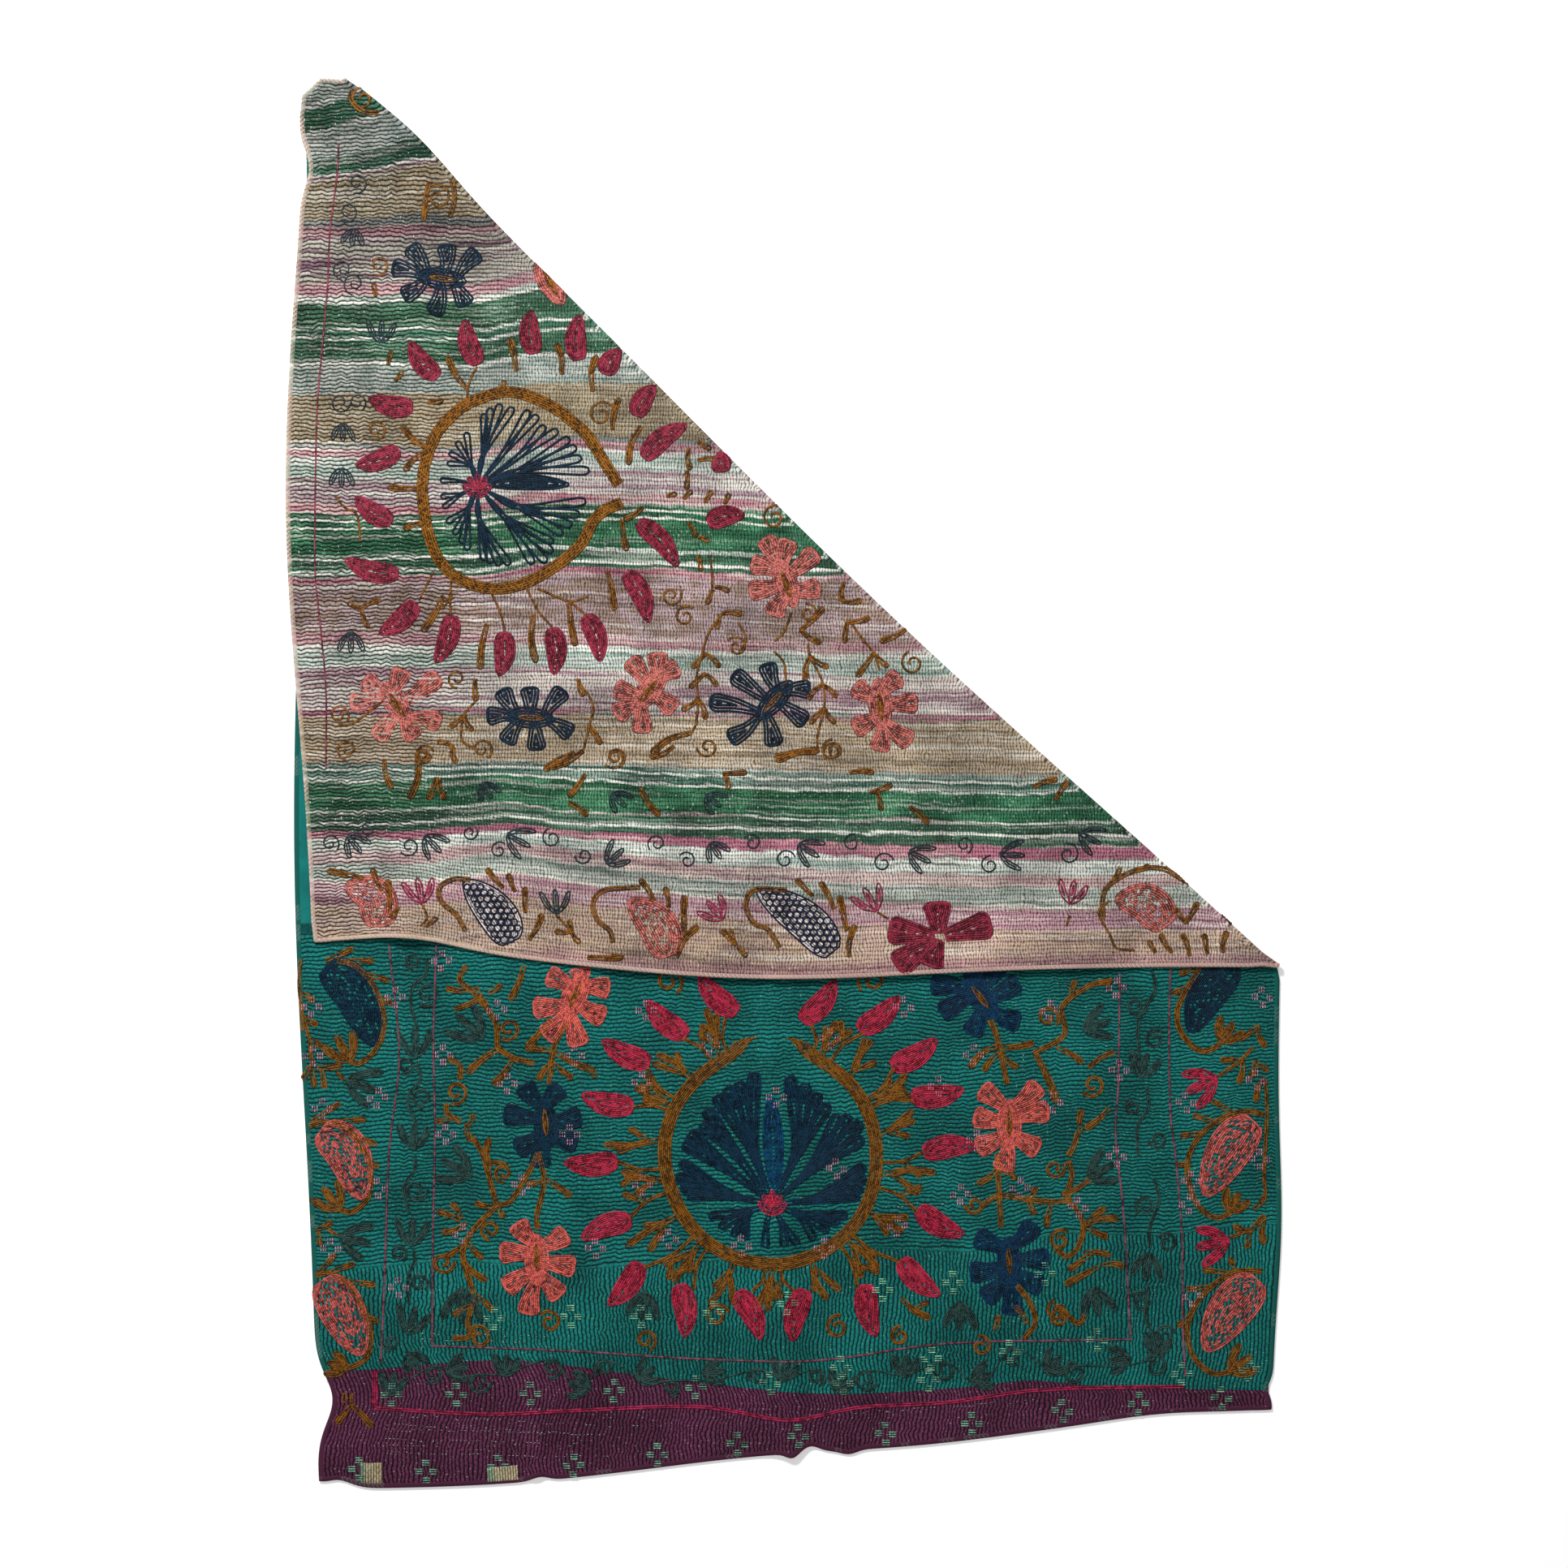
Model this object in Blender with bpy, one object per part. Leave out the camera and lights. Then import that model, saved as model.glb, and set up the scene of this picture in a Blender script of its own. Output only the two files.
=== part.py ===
"""A quilted and embroidered cotton throw, laid out with its upper right half turned over.

The throw is two plies quilted together: a striped backing, and a face made of a teal panel with a plum
end band, which carries two small cream mends. It lies face up, and the half past a diagonal fold line is
folded over, so that its striped back shows. Every ply is drawn flat first, as it was cut, and then each
of its points is carried over the fold. Metres, +Z up, origin on the floor under the middle of the throw.
"""

import math

import bmesh
import bpy
from mathutils import Matrix, Vector

BACK_THICK = 0.0014
FACE_THICK = 0.0016
PLY_GAP = 0.0003
MEND_THICK = 0.0010
THICK = BACK_THICK + PLY_GAP + FACE_THICK

FOLD_GAP = 0.0050
LAYER_GAP = 0.0020
GAP_REACH = 0.040
BEND_STEPS = 6
SWAY_REACH = 0.40

# The corners as they lie. The fold runs from the tip to the fold foot.
TIP = Vector((-0.6495, 1.0436))
FOLD_FOOT = Vector((0.7343, -0.2692))
SHOULDER = Vector((-0.7104, 1.0171))
TIP_ROUND = Vector((-0.6830, 1.0421))
BOTTOM_LEFT = Vector((-0.6880, -1.0346))
BOTTOM_RIGHT = Vector((0.7223, -0.9286))
FLAP_CORNER = Vector((-0.6952, -0.2356))
FLAP_OVERHANG = 0.002

# Where the band's seam meets the left and the right edge, measured from the start of each.
SEAM_ON_LEFT = 1.8928
SEAM_ON_RIGHT = 0.0276

# Soft waves that take an edge off its straight line: how far along it, how far out, and how wide.
EDGE_WAVES = (
    # edge, at, out, reach
    ("left", 1.122, 0.0265, 0.520),
    ("left", 1.931, -0.0240, 0.050),
    ("bottom", 0.025, -0.0132, 0.029),
    ("bottom", 0.297, 0.0240, 0.350),
    ("bottom", 0.326, -0.0060, 0.017),
    ("bottom", 0.701, 0.0066, 0.012),
    ("bottom", 0.730, -0.0090, 0.017),
    ("bottom", 0.785, 0.0060, 0.017),
    ("bottom", 0.888, 0.0120, 0.205),
    ("bottom", 1.250, -0.0066, 0.109),
    ("right", 0.028, -0.0075, 0.018),
    ("right", 0.272, 0.0090, 0.150),
    ("flap_bottom", 0.135, -0.0165, 0.105),
    ("flap_bottom", 0.652, 0.0385, 0.400),
    ("flap_left", 0.112, -0.0115, 0.036),
    ("flap_left", 0.615, 0.0325, 0.400),
    ("seam", 0.268, -0.0240, 0.180),
    ("seam", 0.744, 0.0168, 0.180),
    ("seam", 1.050, -0.0096, 0.072),
    ("fold", 0.130, 0.0125, 0.120),
    ("fold", 1.120, -0.0210, 0.600),
)
EDGE_STEP = 0.060
EDGE_END = 0.030
NEAREST_POINTS = 0.009

# Soft ridges where the cloth stands off what it lies on, from one point to another as they lie.
RIDGES = (
    # layer, from x, from y, to x, to y, height, reach
    ("base", -0.008, -0.330, 0.012, -1.000, 0.0060, 0.026),
    ("base", -0.300, -0.300, -0.338, -0.900, 0.0040, 0.030),
    ("base", 0.324, -0.330, 0.394, -0.900, 0.0050, 0.026),
    ("base", -0.638, -0.560, -0.684, -0.930, 0.0050, 0.030),
    ("base", -0.361, -0.955, -0.366, -1.030, 0.0040, 0.010),
    ("flap", -0.570, 0.420, -0.560, -0.225, 0.0110, 0.034),
    ("flap", -0.358, 0.060, -0.248, -0.230, 0.0100, 0.055),
    ("flap", -0.538, 0.900, -0.543, 0.680, 0.0070, 0.030),
    ("flap", -0.238, 0.440, -0.008, 0.425, 0.0080, 0.040),
    ("flap", 0.062, 0.120, 0.252, -0.110, 0.0060, 0.060),
    ("flap", -0.150, -0.265, 0.420, -0.259, 0.0060, 0.060),
)
RIDGE_CUTS = (-2.1, -0.8, 0.0, 0.8, 2.1)
CUT_REACH = 3.0

CELL = 0.078
SLIVER = 0.0025

# The two cream mends on the end band: centre, half size across and up, and their slant.
MENDS = (
    # name, x, y, half width, half height, slant in degrees
    ("mend_left", -0.6116, -1.0234, 0.0170, 0.0160, 0.0),
    ("mend_right", -0.4166, -1.0243, 0.0240, 0.0115, 4.3),
)

BEND_RADIUS = THICK + FOLD_GAP / 2
BEND_LENGTH = math.pi * (FOLD_GAP / 2 + THICK / 2)
ALONG = (FOLD_FOOT - TIP).normalized()
OUT = Vector((-ALONG.y, ALONG.x))
FOLD_START = TIP - OUT * BEND_RADIUS
FOLD_LENGTH = (FOLD_FOOT - TIP).length


def soft_step(share):
    """0 to 1, level at both ends."""
    share = min(max(share, 0.0), 1.0)
    return share * share * (3 - 2 * share)


def wave(edge, along, length):
    """How far an edge is pushed out there, with its two ends kept in place."""
    push = sum(
        out * math.exp(-(((along - at) / reach) ** 2))
        for name, at, out, reach in EDGE_WAVES
        if name == edge
    )
    near_end = min(along, length - along) / EDGE_END
    return push * min(max(near_end, 0.0), 1.0)


def edge_points(edge, start, end, first=0.0, last=None):
    """The points of a waved edge between two distances along it. Outwards is to the right of the way."""
    length = (end - start).length
    last = length if last is None else last
    way = (end - start) / length
    outwards = Vector((way.y, -way.x))
    steps = math.ceil((last - first) / EDGE_STEP)
    places = [first + (last - first) * i / steps for i in range(1, steps)]
    for name, at, _, reach in EDGE_WAVES:
        if name == edge and reach < EDGE_STEP:
            places += [at - reach, at, at + reach]
    kept = [first]
    for place in sorted(places):
        if place - kept[-1] > NEAREST_POINTS and last - place > NEAREST_POINTS:
            kept.append(place)
    return [start + way * a + outwards * wave(edge, a, length) for a in kept + [last]]


def unfolded(point):
    """Where a point that is seen on the turned half lies when the throw is opened out flat."""
    offset = point - FOLD_START
    beyond = BEND_LENGTH - offset.dot(OUT)
    return FOLD_START + ALONG * offset.dot(ALONG) + OUT * beyond


def ridge_height(layer, x, y):
    """The height of one layer's ridges at a place: each falls off with the distance from its line."""
    height = 0.0
    for name, x0, y0, x1, y1, top, reach in RIDGES:
        if name != layer:
            continue
        start, run = Vector((x0, y0)), Vector((x1 - x0, y1 - y0))
        share = (Vector((x, y)) - start).dot(run) / run.length_squared
        nearest = start + run * min(max(share, 0.0), 1.0)
        height += top * math.exp(-(((Vector((x, y)) - nearest).length / reach) ** 2))
    return height


def laid(x, y, up):
    """Carries a point of the flat cloth, at a height above its back, to where it lies once folded."""
    offset = Vector((x, y)) - FOLD_START
    along, across = offset.dot(ALONG), offset.dot(OUT)
    turned = min(max(across / BEND_LENGTH, 0.0), 1.0)
    radius = FOLD_GAP / 2 + THICK - up
    reach_out = radius * math.sin(math.pi * turned)
    height = THICK + FOLD_GAP / 2 - radius * math.cos(math.pi * turned)
    if across > BEND_LENGTH:
        reach_out = BEND_LENGTH - across
        height -= (FOLD_GAP - LAYER_GAP) * (1 - math.exp(-((reach_out / GAP_REACH) ** 2)))
    elif across < 0:
        reach_out = across
    sway = wave("fold", along, FOLD_LENGTH) * (1 - soft_step(abs(reach_out) / SWAY_REACH))
    place = FOLD_START + ALONG * along + OUT * (reach_out + sway)
    height += ridge_height("base", place.x, place.y)
    height += ridge_height("flap", place.x, place.y) * soft_step(turned)
    return Vector((place.x, place.y, height))


def flat_outlines():
    """The flat outlines of the teal panel and of the end band, both counterclockwise, sharing the seam."""
    left_length = (BOTTOM_LEFT - SHOULDER).length
    upper_left = edge_points("left", SHOULDER, BOTTOM_LEFT, 0.0, SEAM_ON_LEFT)
    lower_left = edge_points("left", SHOULDER, BOTTOM_LEFT, SEAM_ON_LEFT, left_length)
    lower_right = edge_points("right", BOTTOM_RIGHT, FOLD_FOOT, 0.0, SEAM_ON_RIGHT)
    upper_right = edge_points("right", BOTTOM_RIGHT, FOLD_FOOT, SEAM_ON_RIGHT)
    bottom = edge_points("bottom", BOTTOM_LEFT, BOTTOM_RIGHT)
    seam = edge_points("seam", upper_left[-1], upper_right[0])
    overhang = Vector((-FLAP_OVERHANG, 0))
    flap_left = edge_points("flap_left", SHOULDER + overhang, FLAP_CORNER)
    flap_bottom = edge_points("flap_bottom", FLAP_CORNER, FOLD_FOOT)
    tip_side = [TIP_ROUND + overhang] + flap_left + flap_bottom[1:-1]
    turned_over = [unfolded(point) for point in reversed(tip_side)]
    foot = FOLD_FOOT - OUT * BEND_RADIUS
    tip = [FOLD_START + OUT * BEND_LENGTH, FOLD_START, TIP_ROUND]
    panel = seam + upper_right[1:-1] + [foot, foot + OUT * BEND_LENGTH]
    panel += turned_over + tip + upper_left[:-1]
    band = bottom + lower_right[1:] + list(reversed(seam))[1:] + lower_left[1:-1]
    return panel, band


def cut(flat, point, normal, near=None):
    """Cuts the flat cloth along a line, in all of it or only in the faces near a stretch of the line."""
    faces = [f for f in flat.faces if near is None or near(f.calc_center_median())]
    edges = {e for f in faces for e in f.edges}
    verts = {v for f in faces for v in f.verts}
    bmesh.ops.bisect_plane(
        flat,
        geom=list(verts) + list(edges) + faces,
        dist=SLIVER,
        plane_co=(point[0], point[1], 0),
        plane_no=(normal[0], normal[1], 0),
    )


def near_stretch(start, end, reach):
    """A test for a place that lies within reach of the stretch from start to end."""
    run = end - start

    def test(place):
        share = (place.to_2d() - start).dot(run) / run.length_squared
        nearest = start + run * min(max(share, 0.0), 1.0)
        return (place.to_2d() - nearest).length < reach

    return test


def flat_cloth():
    """The whole cloth, flat, in triangles: cells of a grid, rows along the bend, and rows along each ridge.

    Faces of the end band have material index 1 and those of the panel 0.
    """
    flat = bmesh.new()
    panel, band = flat_outlines()
    made = {}
    for index, outline in enumerate((panel, band)):
        corners = []
        for point in outline:
            key = (round(point.x, 6), round(point.y, 6))
            if key not in made:
                made[key] = flat.verts.new((point.x, point.y, 0))
            corners.append(made[key])
        flat.faces.new(corners).material_index = index
    low = Vector((min(v.co.x for v in flat.verts), min(v.co.y for v in flat.verts)))
    high = Vector((max(v.co.x for v in flat.verts), max(v.co.y for v in flat.verts)))
    for axis in (0, 1):
        normal = (1, 0) if axis == 0 else (0, 1)
        count = round((high[axis] - low[axis]) / CELL)
        for i in range(1, count):
            at = low[axis] + (high[axis] - low[axis]) * i / count
            cut(flat, (at, at), normal)
    for i in range(BEND_STEPS + 1):
        cut(flat, FOLD_START + OUT * BEND_LENGTH * i / BEND_STEPS, OUT)
    for across in (-GAP_REACH, BEND_LENGTH + GAP_REACH):
        cut(flat, FOLD_START + OUT * across, OUT)
    for layer, x0, y0, x1, y1, _, reach in RIDGES:
        start, end = Vector((x0, y0)), Vector((x1, y1))
        if layer == "flap":
            start, end = unfolded(start), unfolded(end)
        way = (end - start).normalized()
        side = Vector((way.y, -way.x))
        for share in RIDGE_CUTS:
            cut(flat, start + side * share * reach, side, near_stretch(start, end, CUT_REACH * reach))
    bmesh.ops.triangulate(flat, faces=flat.faces[:])
    return flat


def cloth_material(name, colour, roughness):
    material = bpy.data.materials.new(name)
    material.use_nodes = True
    shader = material.node_tree.nodes["Principled BSDF"]
    shader.inputs["Base Color"].default_value = (*colour, 1)
    shader.inputs["Roughness"].default_value = roughness
    shader.inputs["Metallic"].default_value = 0.0
    return material


def ply(name, flat, keep, low, high, material, seam_shift=0.0):
    """One ply of the cloth: some of the flat cloth's faces, made a plate between two heights, then folded."""
    plate = flat.copy()
    seam_ends = {
        v.index
        for v in plate.verts
        if len({f.material_index for f in v.link_faces}) > 1
    }
    drop = [f for f in plate.faces if f.material_index not in keep]
    seam = [v for v in plate.verts if v.index in seam_ends]
    for vert in seam:
        vert.co.y += seam_shift
    bmesh.ops.delete(plate, geom=drop, context="FACES")
    bmesh.ops.translate(plate, verts=plate.verts, vec=(0, 0, low))
    risen = bmesh.ops.extrude_face_region(plate, geom=plate.faces[:])
    top = [item for item in risen["geom"] if isinstance(item, bmesh.types.BMVert)]
    bmesh.ops.translate(plate, verts=top, vec=(0, 0, high - low))
    bmesh.ops.triangulate(plate, faces=plate.faces[:])
    bmesh.ops.recalc_face_normals(plate, faces=plate.faces)
    for vert in plate.verts:
        vert.co = laid(*vert.co)
    for face in plate.faces:
        face.material_index = 0
    mesh = bpy.data.meshes.new(name)
    plate.to_mesh(mesh)
    plate.free()
    mesh.materials.append(material)
    piece = bpy.data.objects.new(name, mesh)
    bpy.context.scene.collection.objects.link(piece)


def mend(name, x, y, half_wide, half_high, slant, material):
    """A small oblong of cloth sewn flat on the end band, turned by its slant."""
    bm = bmesh.new()
    low = THICK + PLY_GAP
    turn = Matrix.Rotation(math.radians(slant), 2)
    corners = [
        Vector((x, y)) + turn @ Vector((i * half_wide, j * half_high))
        for i, j in ((-1, -1), (1, -1), (1, 1), (-1, 1))
    ]
    face = bm.faces.new([bm.verts.new((*corner, low)) for corner in corners])
    risen = bmesh.ops.extrude_face_region(bm, geom=[face])
    top = [item for item in risen["geom"] if isinstance(item, bmesh.types.BMVert)]
    bmesh.ops.translate(bm, verts=top, vec=(0, 0, MEND_THICK))
    bmesh.ops.recalc_face_normals(bm, faces=bm.faces)
    mesh = bpy.data.meshes.new(name)
    bm.to_mesh(mesh)
    bm.free()
    mesh.materials.append(material)
    piece = bpy.data.objects.new(name, mesh)
    bpy.context.scene.collection.objects.link(piece)


def main():
    for leftover in list(bpy.data.objects):
        bpy.data.objects.remove(leftover)
    striped = cloth_material("striped_cotton", (0.52, 0.36, 0.31), 0.9)
    teal = cloth_material("teal_cotton", (0.01, 0.17, 0.15), 0.9)
    plum = cloth_material("plum_cotton", (0.08, 0.022, 0.04), 0.9)
    cream = cloth_material("cream_cotton", (0.55, 0.48, 0.33), 0.9)
    flat = flat_cloth()
    flat.verts.index_update()
    face_low = BACK_THICK + PLY_GAP
    ply("backing", flat, (0, 1), 0.0, BACK_THICK, striped)
    ply("face_panel", flat, (0,), face_low, THICK, teal, PLY_GAP / 2)
    ply("end_band", flat, (1,), face_low, THICK, plum, -PLY_GAP / 2)
    flat.free()
    for row in MENDS:
        mend(*row, cream)


main()
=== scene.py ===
"""The looks of a quilted and embroidered cotton throw, laid out with its upper right half turned over.

The cloth is made flat, in rows of points, and each point is then carried over the fold as the solids were.
The quilting's ripples move a point out of its ply. The thread work is laid on the cloth as it is seen from
above. Metres, +Z up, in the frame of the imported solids.
"""

import math

import bpy
import numpy as np
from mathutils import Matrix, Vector


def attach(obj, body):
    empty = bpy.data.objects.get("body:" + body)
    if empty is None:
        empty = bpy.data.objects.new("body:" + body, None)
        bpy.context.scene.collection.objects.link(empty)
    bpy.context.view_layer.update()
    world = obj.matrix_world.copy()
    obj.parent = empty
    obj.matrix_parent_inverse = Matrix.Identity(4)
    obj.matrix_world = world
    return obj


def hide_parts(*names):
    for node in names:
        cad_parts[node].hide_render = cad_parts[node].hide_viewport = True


bl_info = {
    "name": "Embroidered quilted throw",
    "version": (1, 0, 0),
    "blender": (4, 5, 0),
    "location": "3D View > Sidebar > Throw",
    "description": "Builds a quilted and embroidered cotton throw, folded over on the diagonal",
    "category": "Add Mesh",
}

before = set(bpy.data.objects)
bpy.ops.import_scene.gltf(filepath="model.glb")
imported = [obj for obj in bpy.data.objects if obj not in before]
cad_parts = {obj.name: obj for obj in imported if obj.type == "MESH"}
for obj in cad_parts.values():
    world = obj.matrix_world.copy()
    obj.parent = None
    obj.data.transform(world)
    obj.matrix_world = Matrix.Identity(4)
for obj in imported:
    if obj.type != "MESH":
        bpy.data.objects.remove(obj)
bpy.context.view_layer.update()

# The plies and the fold, as the solids have them.
BACK_THICK = 0.0014
FACE_THICK = 0.0016
PLY_GAP = 0.0003
MEND_THICK = 0.0010
THICK = BACK_THICK + PLY_GAP + FACE_THICK
FOLD_GAP = 0.0050
LAYER_GAP = 0.0020
GAP_REACH = 0.040
SWAY_REACH = 0.40
TIP = np.array((-0.6495, 1.0436))
FOLD_FOOT = np.array((0.7343, -0.2692))
SHOULDER = np.array((-0.7104, 1.0171))
TIP_ROUND = np.array((-0.6830, 1.0421))
BOTTOM_LEFT = np.array((-0.6880, -1.0346))
BOTTOM_RIGHT = np.array((0.7223, -0.9286))
FLAP_CORNER = np.array((-0.6952, -0.2356))
OVERHANG = np.array((-0.002, 0.0))
SEAM_ON_LEFT = 1.8928
SEAM_ON_RIGHT = 0.0276

EDGE_WAVES = (
    # edge, at, out, reach
    ("left", 1.122, 0.0265, 0.520),
    ("left", 1.931, -0.0240, 0.050),
    ("bottom", 0.025, -0.0132, 0.029),
    ("bottom", 0.297, 0.0240, 0.350),
    ("bottom", 0.326, -0.0060, 0.017),
    ("bottom", 0.701, 0.0066, 0.012),
    ("bottom", 0.730, -0.0090, 0.017),
    ("bottom", 0.785, 0.0060, 0.017),
    ("bottom", 0.888, 0.0120, 0.205),
    ("bottom", 1.250, -0.0066, 0.109),
    ("right", 0.028, -0.0075, 0.018),
    ("right", 0.272, 0.0090, 0.150),
    ("flap_bottom", 0.135, -0.0165, 0.105),
    ("flap_bottom", 0.652, 0.0385, 0.400),
    ("flap_left", 0.112, -0.0115, 0.036),
    ("flap_left", 0.615, 0.0325, 0.400),
    ("seam", 0.268, -0.0240, 0.180),
    ("seam", 0.744, 0.0168, 0.180),
    ("seam", 1.050, -0.0096, 0.072),
    ("fold", 0.130, 0.0125, 0.120),
    ("fold", 1.120, -0.0210, 0.600),
)
EDGE_END = 0.030

RIDGES = (
    # layer, from x, from y, to x, to y, height, reach
    ("base", -0.008, -0.330, 0.012, -1.000, 0.0060, 0.026),
    ("base", -0.300, -0.300, -0.338, -0.900, 0.0040, 0.030),
    ("base", 0.324, -0.330, 0.394, -0.900, 0.0050, 0.026),
    ("base", -0.638, -0.560, -0.684, -0.930, 0.0050, 0.030),
    ("base", -0.361, -0.955, -0.366, -1.030, 0.0040, 0.010),
    ("base", -0.364, -0.270, -0.360, -0.355, -0.0020, 0.006),
    ("base", -0.001, -0.300, -0.004, -0.460, -0.0020, 0.007),
    ("base", -0.352, -0.560, -0.356, -0.950, -0.0012, 0.005),
    ("base", 0.255, -0.615, 0.480, -0.606, -0.0014, 0.005),
    ("base", -0.019, -0.300, -0.020, -0.450, 0.0030, 0.010),
    ("flap", -0.570, 0.420, -0.560, -0.225, 0.0110, 0.034),
    ("flap", -0.558, 0.900, -0.554, 0.800, -0.0035, 0.012),
    ("flap", -0.358, 0.060, -0.248, -0.230, 0.0100, 0.055),
    ("flap", -0.538, 0.900, -0.543, 0.680, 0.0070, 0.030),
    ("flap", -0.238, 0.440, -0.008, 0.425, 0.0080, 0.040),
    ("flap", 0.062, 0.120, 0.252, -0.110, 0.0060, 0.060),
    ("flap", -0.150, -0.265, 0.420, -0.259, 0.0060, 0.060),
)

BEND_RADIUS = THICK + FOLD_GAP / 2
BEND_LENGTH = math.pi * (FOLD_GAP / 2 + THICK / 2)
FOLD_LENGTH = float(np.linalg.norm(FOLD_FOOT - TIP))
ALONG = (FOLD_FOOT - TIP) / FOLD_LENGTH
OUT = np.array((-ALONG[1], ALONG[0]))
FOLD_START = TIP - OUT * BEND_RADIUS
FOLD_END = FOLD_FOOT - OUT * BEND_RADIUS

# The two cream mends on the end band.
MENDS = (
    # name, x, y, half width, half height, slant in degrees, cut size
    ("mend_left", -0.6116, -1.0234, 0.0170, 0.0160, 0.0, (0.034, 0.032)),
    ("mend_right", -0.4166, -1.0243, 0.0240, 0.0115, 4.3, (0.048, 0.023)),
)

# Below this curve on the face the quilting's ripples run up and down instead of across.
TURN_CURVE = (
    # x, y
    (-0.800, -0.722), (-0.655, -0.722), (-0.480, -0.708), (-0.330, -0.724), (-0.170, -0.712), (-0.020, -0.706),
    (0.130, -0.690), (0.270, -0.697), (0.410, -0.668), (0.560, -0.672), (0.690, -0.655), (0.820, -0.655),
)
# The face is hidden above this line, but for a strip along the left edge.
HIDDEN_LINE = -0.225
# The four rows of points that shape one ripple: how far across it, and how high.
RIPPLE_ROWS = ((0.0, 0.0), (0.18, 0.74), (0.5, 1.0), (0.82, 0.74))


class ThrowCloth(bpy.types.PropertyGroup):
    """Sizes and colours of the quilted cloth."""

    ripple: bpy.props.FloatProperty(
        name="Ripple", description="From one quilted ripple to the next", default=0.0058, unit="LENGTH"
    )
    column: bpy.props.FloatProperty(
        name="Column", description="From one column of stitches to the next", default=0.0084, unit="LENGTH"
    )
    puff: bpy.props.FloatProperty(
        name="Puff", description="How far a ripple stands out of its ply", default=0.0010, unit="LENGTH"
    )
    cell: bpy.props.FloatProperty(
        name="Cell", description="Width of a mesh cell along a ripple", default=0.0076, unit="LENGTH"
    )
    coarse: bpy.props.FloatProperty(
        name="Coarse cell", description="Width of a mesh cell where nothing shows", default=0.024, unit="LENGTH"
    )
    teal: bpy.props.StringProperty(name="Teal", description="Face panel", default="#13706b")
    plum: bpy.props.StringProperty(name="Plum", description="End band", default="#5c2c48")
    cream: bpy.props.StringProperty(name="Cream", description="Mends", default="#cfc4a0")


class ThrowStage(bpy.types.PropertyGroup):
    """The camera, the floor and the lights."""

    camera_height: bpy.props.FloatProperty(
        name="Camera height", description="Camera above the floor", default=7.0, unit="LENGTH"
    )
    view_width: bpy.props.FloatProperty(
        name="View width", description="Width of floor in the picture", default=2.3248, unit="LENGTH"
    )
    key: bpy.props.FloatProperty(name="Key light", description="Power in watts", default=260.0)
    fill: bpy.props.FloatProperty(name="Fill light", description="Strength of the world", default=0.40)


def cloth():
    return bpy.context.scene.throw_cloth


def soft_step(share):
    """0 to 1 and level at both ends: the square of the share, times three less two shares."""
    share = np.clip(share, 0.0, 1.0)
    return share * share * (3 - 2 * share)


def lattice(i, j, seed):
    """A fixed random value from -1 to 1 for each lattice point, from mixing the bits of its two numbers."""
    mixed = (i * 374761393 + j * 668265263 + seed * 974711) & 0xFFFFFFFF
    mixed = ((mixed ^ (mixed >> 13)) * 1274126177) & 0xFFFFFFFF
    return (mixed ^ (mixed >> 16)) / 0x7FFFFFFF - 1.0


def noise(x, y, wide, high, seed):
    """Smooth values from -1 to 1: those of the four lattice points around, mixed by soft steps."""
    x, y = x / wide, y / high
    i, j = np.floor(x).astype(np.int64), np.floor(y).astype(np.int64)
    u, v = soft_step(x - i), soft_step(y - j)
    low = lattice(i, j, seed) * (1 - u) + lattice(i + 1, j, seed) * u
    top = lattice(i, j + 1, seed) * (1 - u) + lattice(i + 1, j + 1, seed) * u
    return low * (1 - v) + top * v


def wave(edge, along, length):
    """How far an edge is pushed out there: a sum of bell curves, with its two ends kept in place."""
    push = np.zeros_like(along)
    for name, at, out, reach in EDGE_WAVES:
        if name == edge:
            push += out * np.exp(-(((along - at) / reach) ** 2))
    return push * np.clip(np.minimum(along, length - along) / EDGE_END, 0, 1)


def edge_curve(edge, start, end, first=0.0, last=None, step=0.002):
    """Close points of a waved edge between two distances along it. Outwards is to the right of the way."""
    length = np.linalg.norm(end - start)
    last = length if last is None else last
    way = (end - start) / length
    outwards = np.array((way[1], -way[0]))
    along = np.linspace(first, last, math.ceil((last - first) / step) + 1)
    return start + way * along[:, None] + outwards * wave(edge, along, length)[:, None]


def ridge_height(layer, place):
    """The height of one layer's ridges: each falls off as a bell curve of the distance from its line."""
    height = np.zeros(len(place))
    for name, x0, y0, x1, y1, top, reach in RIDGES:
        if name != layer:
            continue
        start, run = np.array((x0, y0)), np.array((x1 - x0, y1 - y0))
        share = np.clip((place - start) @ run / (run @ run), 0, 1)
        away = np.linalg.norm(place - start - share[:, None] * run, axis=1)
        height += top * np.exp(-((away / reach) ** 2))
    return height


def sway(along, reach_out):
    """How far the fold's own wave carries a place, less and less away from the fold."""
    return wave("fold", along, FOLD_LENGTH) * (1 - soft_step(np.abs(reach_out) / SWAY_REACH))


def unfolded(place):
    """Where a place on the turned half lies on the flat cloth: its mirror image in the fold."""
    offset = place - FOLD_START
    beyond = BEND_LENGTH - offset @ OUT
    return FOLD_START + np.outer(offset @ ALONG, ALONG) + np.outer(beyond, OUT)


def unswayed(place):
    """Takes the fold's wave out of a place that is seen, in two rounds of correction."""
    still = place
    for _ in range(2):
        offset = still - FOLD_START
        still = place - np.outer(sway(offset @ ALONG, offset @ OUT), OUT)
    return still


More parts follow.
